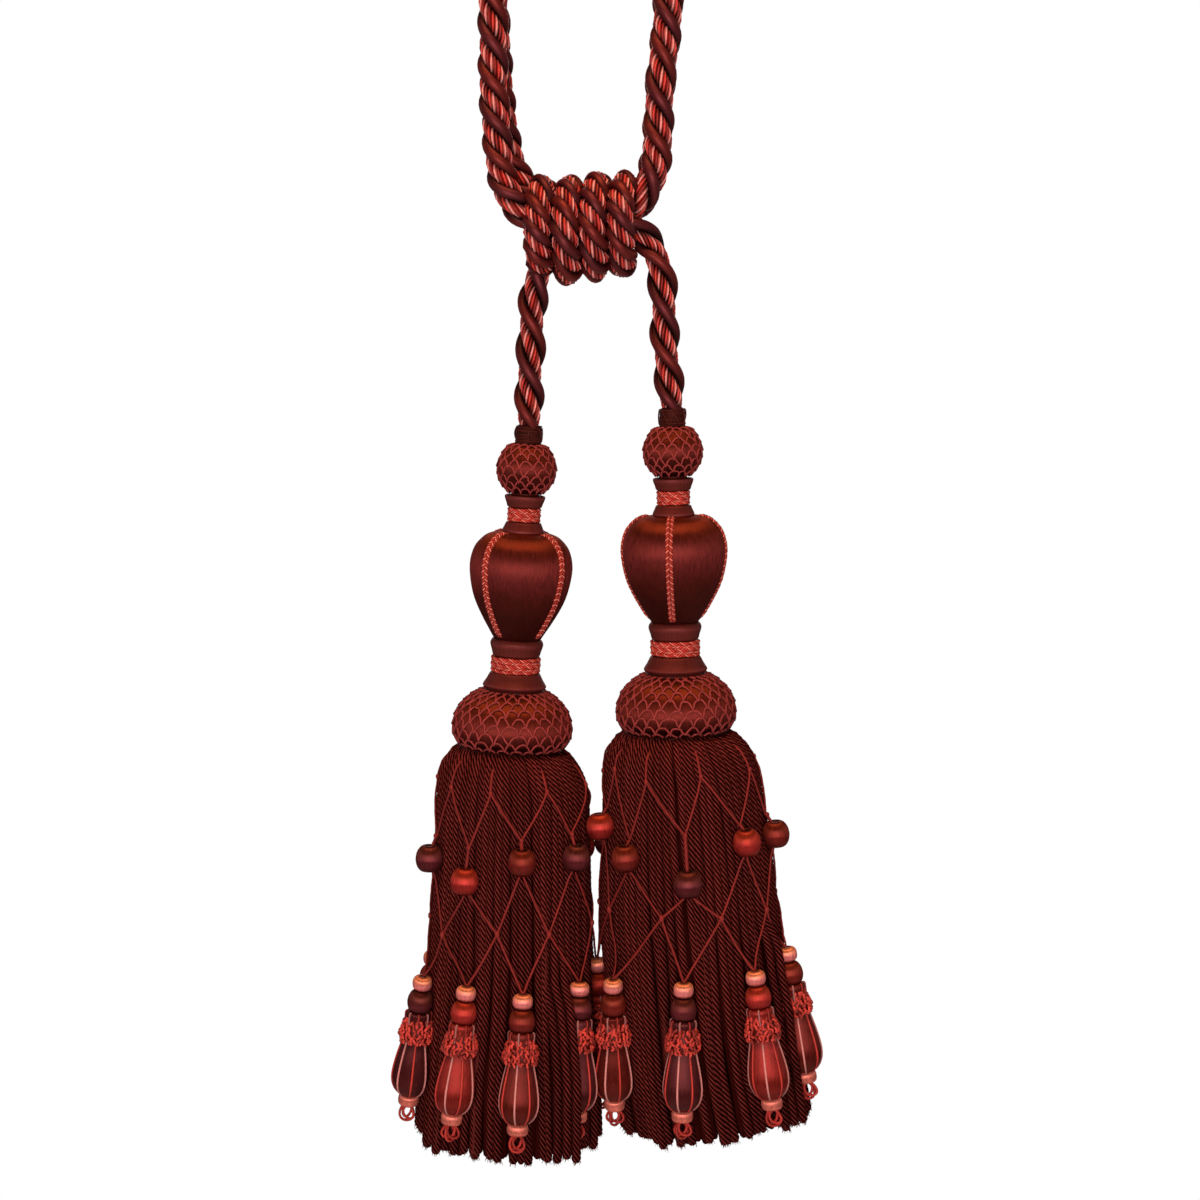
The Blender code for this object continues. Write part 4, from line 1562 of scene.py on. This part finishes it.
    # Inner rings of cords, coloured in painted shade.
    for ring, (count, inset) in enumerate(((60, 3.0), (46, 7.0))):
        for k in range(count):
            base = 360.0 * (k + rng.uniform(0.3, 0.7)) / count
            end = 158.5 + rng.normal(0, 0.7) + ring * 0.3
            down = np.concatenate([[2.4, 5.0, 9.0, 16.0], np.arange(28, end - 4, 14.0), [end - 3, end - 0.8, end]])
            angle = base + 1.5 * np.sin(down / 23.0 + k)
            centre, way, radius = cord_line(skirt, angle, down, 1.5, obstacles)
            radius = np.minimum(radius, skirt.radius(down) - 1.5) - inset * np.clip(down / 14.0, 0.25, 1)
            path = centre + way * radius[:, None]
            _, n, b = frames(path, way)
            section = circle(1.75, 6)[None] * np.concatenate([np.ones(len(down) - 2), [0.8, 0.4]])[:, None, None]
            sweep(inner, path, n, b, section, SHADE, rng.uniform(0, 50), 0.5)
    # A cone in painted shade behind the cords' upper ends.
    down = np.array([r[0] for r in CONE])
    around = np.linspace(0, 360, 48, endpoint=False)
    rings = np.stack(
        [skirt.centre(down) + skirt.out(np.full(len(down), a), down) * np.array([[r[1]] for r in CONE]) for a in around], 1
    )
    flat = rings.reshape(-1, 3)
    inner.add(flat, SHADE * 0.6, flat * 0.5, (0.0, 0.0, 1.0), grid_quads(len(CONE), 48)[:, ::-1])
    # Short lengths in painted shade fill the middle, seen from below.
    for ring, (count, radius) in enumerate(((24, 21.0), (17, 14.5), (10, 8.0), (4, 2.5))):
        for k in range(count):
            angle = 360.0 * (k + rng.uniform(0.2, 0.8)) / count
            end = 156.8 + rng.normal(0, 1.0)
            down = np.array([60.0, 110.0, end - 3, end - 0.8, end])
            path = skirt.centre(down) + skirt.axis.out(np.radians(np.full(5, angle))) * (radius * np.array([0.9, 0.95, 1, 1, 1]))[:, None]
            _, n, b = frames(path, skirt.axis.front + (0.01, 0, 0.02))
            section = circle(2.4, 6)[None] * np.array([1, 1, 1, 0.85, 0.45])[:, None, None]
            sweep(inner, path, n, b, section, SHADE * 1.6, rng.uniform(0, 50), 0.5)
    inner.make(side + "_skirt_inner", MATERIALS["fuzz"], side + "_skirt", slot="cord")
    fuzz.make(side + "_skirt_fuzz", MATERIALS["fuzz"], slot="cord")
    return skirt


# ---------------------------------------------------------------- beads, threads and pendants


def basis(down):
    """Two directions across a hanging line."""
    first = unit(np.cross(down, np.array((0.0, 1.0, 0.0))))
    return first, unit(np.cross(down, first))


def drop_form(shape, top, down, line, sides, tint, seed):
    """A satin-wound form whose heights in line run down from top."""
    first, second = basis(down)
    out_of = lambda a: np.cos(a)[:, None] * first + np.sin(a)[:, None] * second
    flipped = line * (1, -1)
    lathe(shape, top, -down, out_of, flipped, sides, tint, seed)


def bead_line(radius, half, hole, power=2.6, rows=12):
    """A fat bead: its height runs down from its top, with a dip at each hole."""
    t = np.linspace(-1, 1, rows)
    t = np.sign(t) * np.abs(t) ** 0.8
    body = radius * (1 - np.abs(t) ** power * (1 - (hole / radius) ** power)) ** (1 / power)
    line = [(hole * 0.55, half * 0.22)] + [(r, half + h) for r, h in zip(body, t * half)]
    line += [(hole * 0.55, 2 * half - half * 0.22)]
    return np.array(line)


def shaded(tint, line, painted_top_light, low_shade):
    """A tint for each row with painted light and shade: warmer at the top as under the warm top lamp, darker low down
    and in the dips at both ends.
    """
    n = len(line)
    rows = np.repeat(np.asarray(tint, float)[None], n, 0)
    place = np.linspace(0, 1, n)
    rows = rows * (1 - low_shade * np.clip(place - 0.55, 0, 1)[:, None])
    rows[:, 1] += painted_top_light * np.clip(0.45 - place, 0, 1) * rows[:, 0]
    dip = np.interp(line[:, 0] / line[:, 0].max(), [0.28, 0.46, 0.78], [0.05, 0.32, 1.0])
    return (rows * dip[:, None])[:, None]


# A large bead, from its top: narrow above, widest low down.
BIG_BEAD = (
    Turned(0.8, 2.0),
    Turned(1.3, 0.6),
    Turned(2.2, 0.0),
    Turned(3.4, 0.4),
    Turned(4.5, 1.5),
    Turned(5.25, 3.0),
    Turned(5.6, 4.9),
    Turned(5.55, 6.3),
    Turned(5.05, 8.0),
    Turned(4.0, 9.4),
    Turned(2.6, 10.0),
    Turned(1.6, 9.5),
    Turned(1.1, 8.2),
)


def big_bead(shape, top, down, colour, wide, tall, seed):
    line, _ = fine_outline(BIG_BEAD, 2)
    line = line * (wide, tall)
    # The bead's colour carries painted light and shade by height.
    tint = shaded(SATIN[colour] * 1.15, line, 0.03, 0.4) * painted_light_by_height(line, np.ones(3), BEAD_PAINTED_LIGHT)
    drop_form(shape, top, down, line, 26, tint, seed)


def bead_ring(side, skirt):
    shape = Shape()
    down = -skirt.axis.up
    rng = np.random.default_rng(7)
    for k, bead in enumerate(BEADS[side]):
        centre = skirt.at(bead.angle, bead.down, 3.4)
        tilt = unit(down + rng.normal(0, 0.07, 3))
        big_bead(shape, centre - tilt * 5.2, tilt, bead.colour, 0.99, 1.06, 3.0 * k)
    shape.make(side + "_bead_ring", MATERIALS["bead"], slot="maroon")


def skirt_thread(shape, skirt, route, radius, seed):
    """A fine doubled thread over the cords. route is (angle, down, out) rows."""
    rows = np.array(route, float)
    t = np.linspace(0, len(rows) - 1, (len(rows) - 1) * 9 + 1)
    k = np.arange(len(rows))
    angle, down, out = (np.interp(t, k, rows[:, i]) for i in range(3))
    path = skirt.at(angle, down, out)
    path = resample(path, 1.7)
    _, n, b = frames(path, skirt.axis.out(np.radians(np.full(len(path), angle.mean()))))
    wave = 1 + 0.10 * np.sin(arc(path) * 2.4 + seed)
    section = np.array([(0.75, 0.0), (0.25, 0.95), (-0.75, 0.5), (-0.75, -0.5), (0.25, -0.95)])
    section = section[None] * (radius * wave)[:, None, None]
    # The thread is painted lighter on its outer side and one flank, and painted in shade where it lies on the cords.
    tints = np.array([THREAD * 1.1, THREAD * 1.3, THREAD * 0.35, THREAD * 0.3, THREAD * 0.7])
    sweep(shape, path, n, b, section, tints[None], seed, 0.3)


def lump(shape, at, down, radius, half, tint, seed):
    line = bead_line(radius, half, radius * 0.4, 2.2, 7)
    drop_form(shape, at - down * half, down, line, 10, tint, seed)


def lattice(side, skirt):
    """The threads that hang from under the cushion and carry the beads and pendants."""
    shape = Shape()
    down = -skirt.axis.up
    count = len(BEADS[side])
    near = lambda a, b: b + 360.0 * round((a - b) / 360.0)
    for k in range(count):
        bead, following = BEADS[side][k], BEADS[side][(k + 1) % count]
        pendant, next_pendant = PENDANTS[side][k], PENDANTS[side][(k + 1) % count]
        high, low = TOP_JOINS[side][k], LOW_JOINS[side][k]
        lift = 0.15
        skirt_thread(shape, skirt, [(high.angle + 1.5, 0.4, -1.2), (high.angle + 1, 4.0, 0.4), (high.angle, high.down, lift)], 0.6, k)
        lump(shape, skirt.at(high.angle, high.down, lift + 0.1), down, 0.85, 1.1, THREAD * 1.2, k)
        for each in (bead, following):
            goal = near(high.angle, each.angle)
            joined = each.down - 5.2 - each.neck
            skirt_thread(
                shape,
                skirt,
                [(high.angle, high.down, lift), ((high.angle + goal) / 2, (high.down + joined) / 2, lift + 0.1), (goal, joined, 0.5)],
                0.56,
                k + 0.3,
            )
            goal = near(low.angle, each.angle)
            skirt_thread(
                shape,
                skirt,
                [
                    (goal, each.down + 4.2, 2.2),
                    (0.85 * goal + 0.15 * low.angle, 0.85 * (each.down + 4.6) + 0.15 * low.down, 0.8),
                    ((low.angle + goal) / 2, (low.down + each.down + 5) / 2, lift + 0.1),
                    (low.angle, low.down, lift),
                ],
                0.56,
                k + 0.6,
            )
        skirt_thread(
            shape,
            skirt,
            [(bead.angle, bead.down - 5.3 - bead.neck, 1.0), (bead.angle, bead.down - 4.2, 2.6)],
            0.8,
            k + 0.8,
        )
        if bead.neck > 2:
            lump(shape, skirt.at(bead.angle, bead.down - 5.3 - bead.neck, 1.2), down, 0.9, 1.0, THREAD * 1.2, k)
        lump(shape, skirt.at(low.angle, low.down, lift + 0.1), down, 1.0, 1.4, THREAD * 1.3, k)
        for each in (pendant, next_pendant):
            goal = near(low.angle, each.angle_top)
            skirt_thread(
                shape,
                skirt,
                [
                    (low.angle, low.down, lift),
                    (0.45 * low.angle + 0.55 * goal, 0.45 * low.down + 0.55 * each.down, lift + 0.08 * each.out),
                    (0.2 * low.angle + 0.8 * goal, 0.2 * low.down + 0.8 * each.down, lift + 0.38 * each.out),
                    (goal, each.down + 0.6, each.out),
                ],
                0.56,
                k + 0.9,
            )
    shape.make(side + "_thread_lattice", MATERIALS["net"], slot="net")


# A ruff's tiers, from the top: loops, depth below the pendant's top, distance out.
RuffTier = namedtuple("RuffTier", "loops depth out")
RUFF_TIERS = (
    RuffTier(16, 18.8, 5.1),
    RuffTier(19, 20.4, 5.7),
    RuffTier(22, 22.0, 6.3),
    RuffTier(24, 23.7, 6.7),
    RuffTier(24, 25.4, 6.8),
    RuffTier(20, 27.0, 6.3),
)
NECK = (
    Turned(2.0, 15.5),
    Turned(4.3, 15.3),
    Turned(5.0, 16.0),
    Turned(4.9, 19.0),
    Turned(5.0, 22.5),
    Turned(4.4, 26.0),
)
BULB = (
    Turned(3.6, 25.2),
    Turned(4.8, 26.6),
    Turned(5.5, 30.0),
    Turned(6.5, 34.6),
    Turned(7.3, 39.4),
    Turned(7.6, 43.2),
    Turned(7.2, 46.6),
    Turned(5.9, 49.4),
    Turned(4.1, 51.2),
    Turned(2.6, 51.8),
)


def ruff(shape, top, down, rng):
    """Short crimped threads in tiers round a pendant's neck."""
    first, second = basis(down)
    t = np.linspace(-1, 1, 4)
    for tier, row in enumerate(RUFF_TIERS):
        for k in range(row.loops):
            a = math.tau * (k + 0.5 * tier + rng.uniform(-0.3, 0.3)) / row.loops
            way = first * math.cos(a) + second * math.sin(a)
            across = -first * math.sin(a) + second * math.cos(a)
            centre = top + down * (row.depth + rng.uniform(-0.5, 0.5)) + way * (row.out * rng.uniform(0.95, 1.05))
            lean = unit(down + way * rng.uniform(0.0, 0.5) + across * rng.uniform(-0.9, 0.9))
            aside = unit(np.cross(lean, way))
            crimp = rng.uniform(0.15, 0.4) * np.sin(t * 3.0 + rng.uniform(0, 6))
            path = (
                centre
                + lean * (t * rng.uniform(0.65, 1.1))[:, None]
                + aside * crimp[:, None]
                - way * (0.55 * t**2)[:, None]
            )
            _, n, b = frames(path, way)
            tint = (RUFF * 1.1, RUFF, RUFF * 0.75, RUFF * 0.45)[rng.integers(4)] * rng.uniform(0.8, 1.1)
            sweep(shape, path, n, b, circle(0.58, 4), tint, k, 0.4)


def pendant_piece(side, skirt, number, pendant):
    shape = Shape()
    rng = np.random.default_rng(1000 + number + (100 if side == "left" else 0))
    top, bottom = pendant_line(skirt, pendant)
    down = unit(bottom - top)
    own = SATIN[pendant.colour]
    first, second = basis(down)
    line = bead_line(3.95, 3.2, 1.1, 2.7, 11)
    # The small bead's colour carries painted light and shade by height.
    tint = shaded(SATIN["salmon"], line, 0.03, 0.4) * painted_light_by_height(line, np.ones(3), SALMON_PAINTED_LIGHT)
    drop_form(shape, top, down, line, 22, tint, 1.0)
    big_bead(shape, top + down * 6.1, down, pendant.colour, 0.92, 0.97, 2.0)
    neck, _ = fine_outline(NECK, 2)
    drop_form(shape, top, down, neck, 24, own * 0.8, 3.0)
    bulb, _ = fine_outline(BULB, 3)
    # Painted shade on the bulb under the ruff and low down.
    low = np.interp(bulb[:, 1], [27, 31, 42, 51], [0.35, 0.9, 1.0, 0.55])
    drop_form(shape, top, down, bulb, 28, own * 0.86 * low[:, None, None], 4.0)
    line = bead_line(4.25, 2.8, 1.5, 3.2, 9)
    drop_form(shape, top + down * 51.0, down, line, 22, shaded(SATIN["salmon"] * 0.9, line, 0.02, 0.8), 5.0)
    shape.make("%s_pendant_%d_body" % (side, number), MATERIALS["bead"], "%s_pendant_%d" % (side, number), slot=pendant.colour)

    trim = Shape()
    ridge, normal = fine_outline(BULB[1:-1], 2)
    turn = rng.uniform(0, 1)
    # Each thread is painted in shade on its side against the bulb.
    faces = 0.5 + 0.5 * np.cos(math.tau * np.arange(6) / 6)
    for k in range(8):
        a = math.tau * (k + turn) / 8
        way = first * math.cos(a) + second * math.sin(a)
        colour = (PINK * 0.80, CORAL * 0.85)[k % 2]
        for rows, lift in ((ridge, 0.18), (neck[2:-2], 0.16)):
            path = top + down * rows[:, 1:] + way * (rows[:, :1] + lift)
            _, n, b = frames(path, way)
            # The threads are painted darker towards both ends of the bulb, as painted shade.
            dim = np.interp(rows[:, 1], [26, 32, 44, 51], [0.5, 0.95, 1.0, 0.5])
            tint = colour * dim[:, None, None] * faces[None, :, None]
            sweep(trim, path, n, b, circle(0.44, 6), tint, k, 0.4)
    # A soft core, dark with painted shade, fills the ruff between its loops.
    core = np.array([(4.2, 17.8), (4.8, 18.6), (5.2, 20.8), (5.9, 23.5), (6.1, 25.8), (5.4, 27.6), (4.4, 28.2)])
    drop_form(trim, top, down, core, 20, RUFF * (0.11, 0.04, 0.02), 6.0)
    ruff(trim, top, down, rng)
    for k, (lean, off, size) in enumerate(((0.1, -0.2, 3.3), (0.5, 1.3, 2.7), (-0.5, -1.3, 2.8))):
        t = np.linspace(0, math.tau, 16, endpoint=False)
        spin = 0.6 * (k - 1) + 0.4 * math.sin(turn * 9)
        across = first * math.cos(spin) + second * math.sin(spin)
        other = np.cross(down, across)
        hang = unit(down + first * lean * 0.5 + other * 0.2)
        centre = top + down * (56.0 + size * 1.0) + across * off * 0.6 + other * off * 0.5
        # Narrow at the top, where the thread comes out of the bead, and round below.
        wide = np.cos(t) * size * (0.86 + 0.24 * np.sin(t))
        path = centre + across * wide[:, None] + hang * (np.sin(t) * size * 1.1)[:, None]
        _, n, b = closed_frames(path, other)
        sweep(trim, path, n, b, circle(0.56, 6), RUFF * (0.8, 0.6, 0.6) * rng.uniform(0.6, 0.95), k, 0.4, True)
    trim.make("%s_pendant_%d_trim" % (side, number), MATERIALS["gimp"], slot="gimp")


# ---------------------------------------------------------------- the whole

camera()
studio()
loop_ropes()
knot()
drops()
for each_side in ("left", "right"):
    head(each_side)
    the_skirt = skirt_cords(each_side)
    bead_ring(each_side, the_skirt)
    lattice(each_side, the_skirt)
    for index, hanging in enumerate(PENDANTS[each_side]):
        pendant_piece(each_side, the_skirt, index + 1, hanging)

print("TRIANGLES", sum(TRIANGLES.values()), sorted(TRIANGLES.items(), key=lambda r: -r[1])[:8])
bpy.context.view_layer.update()
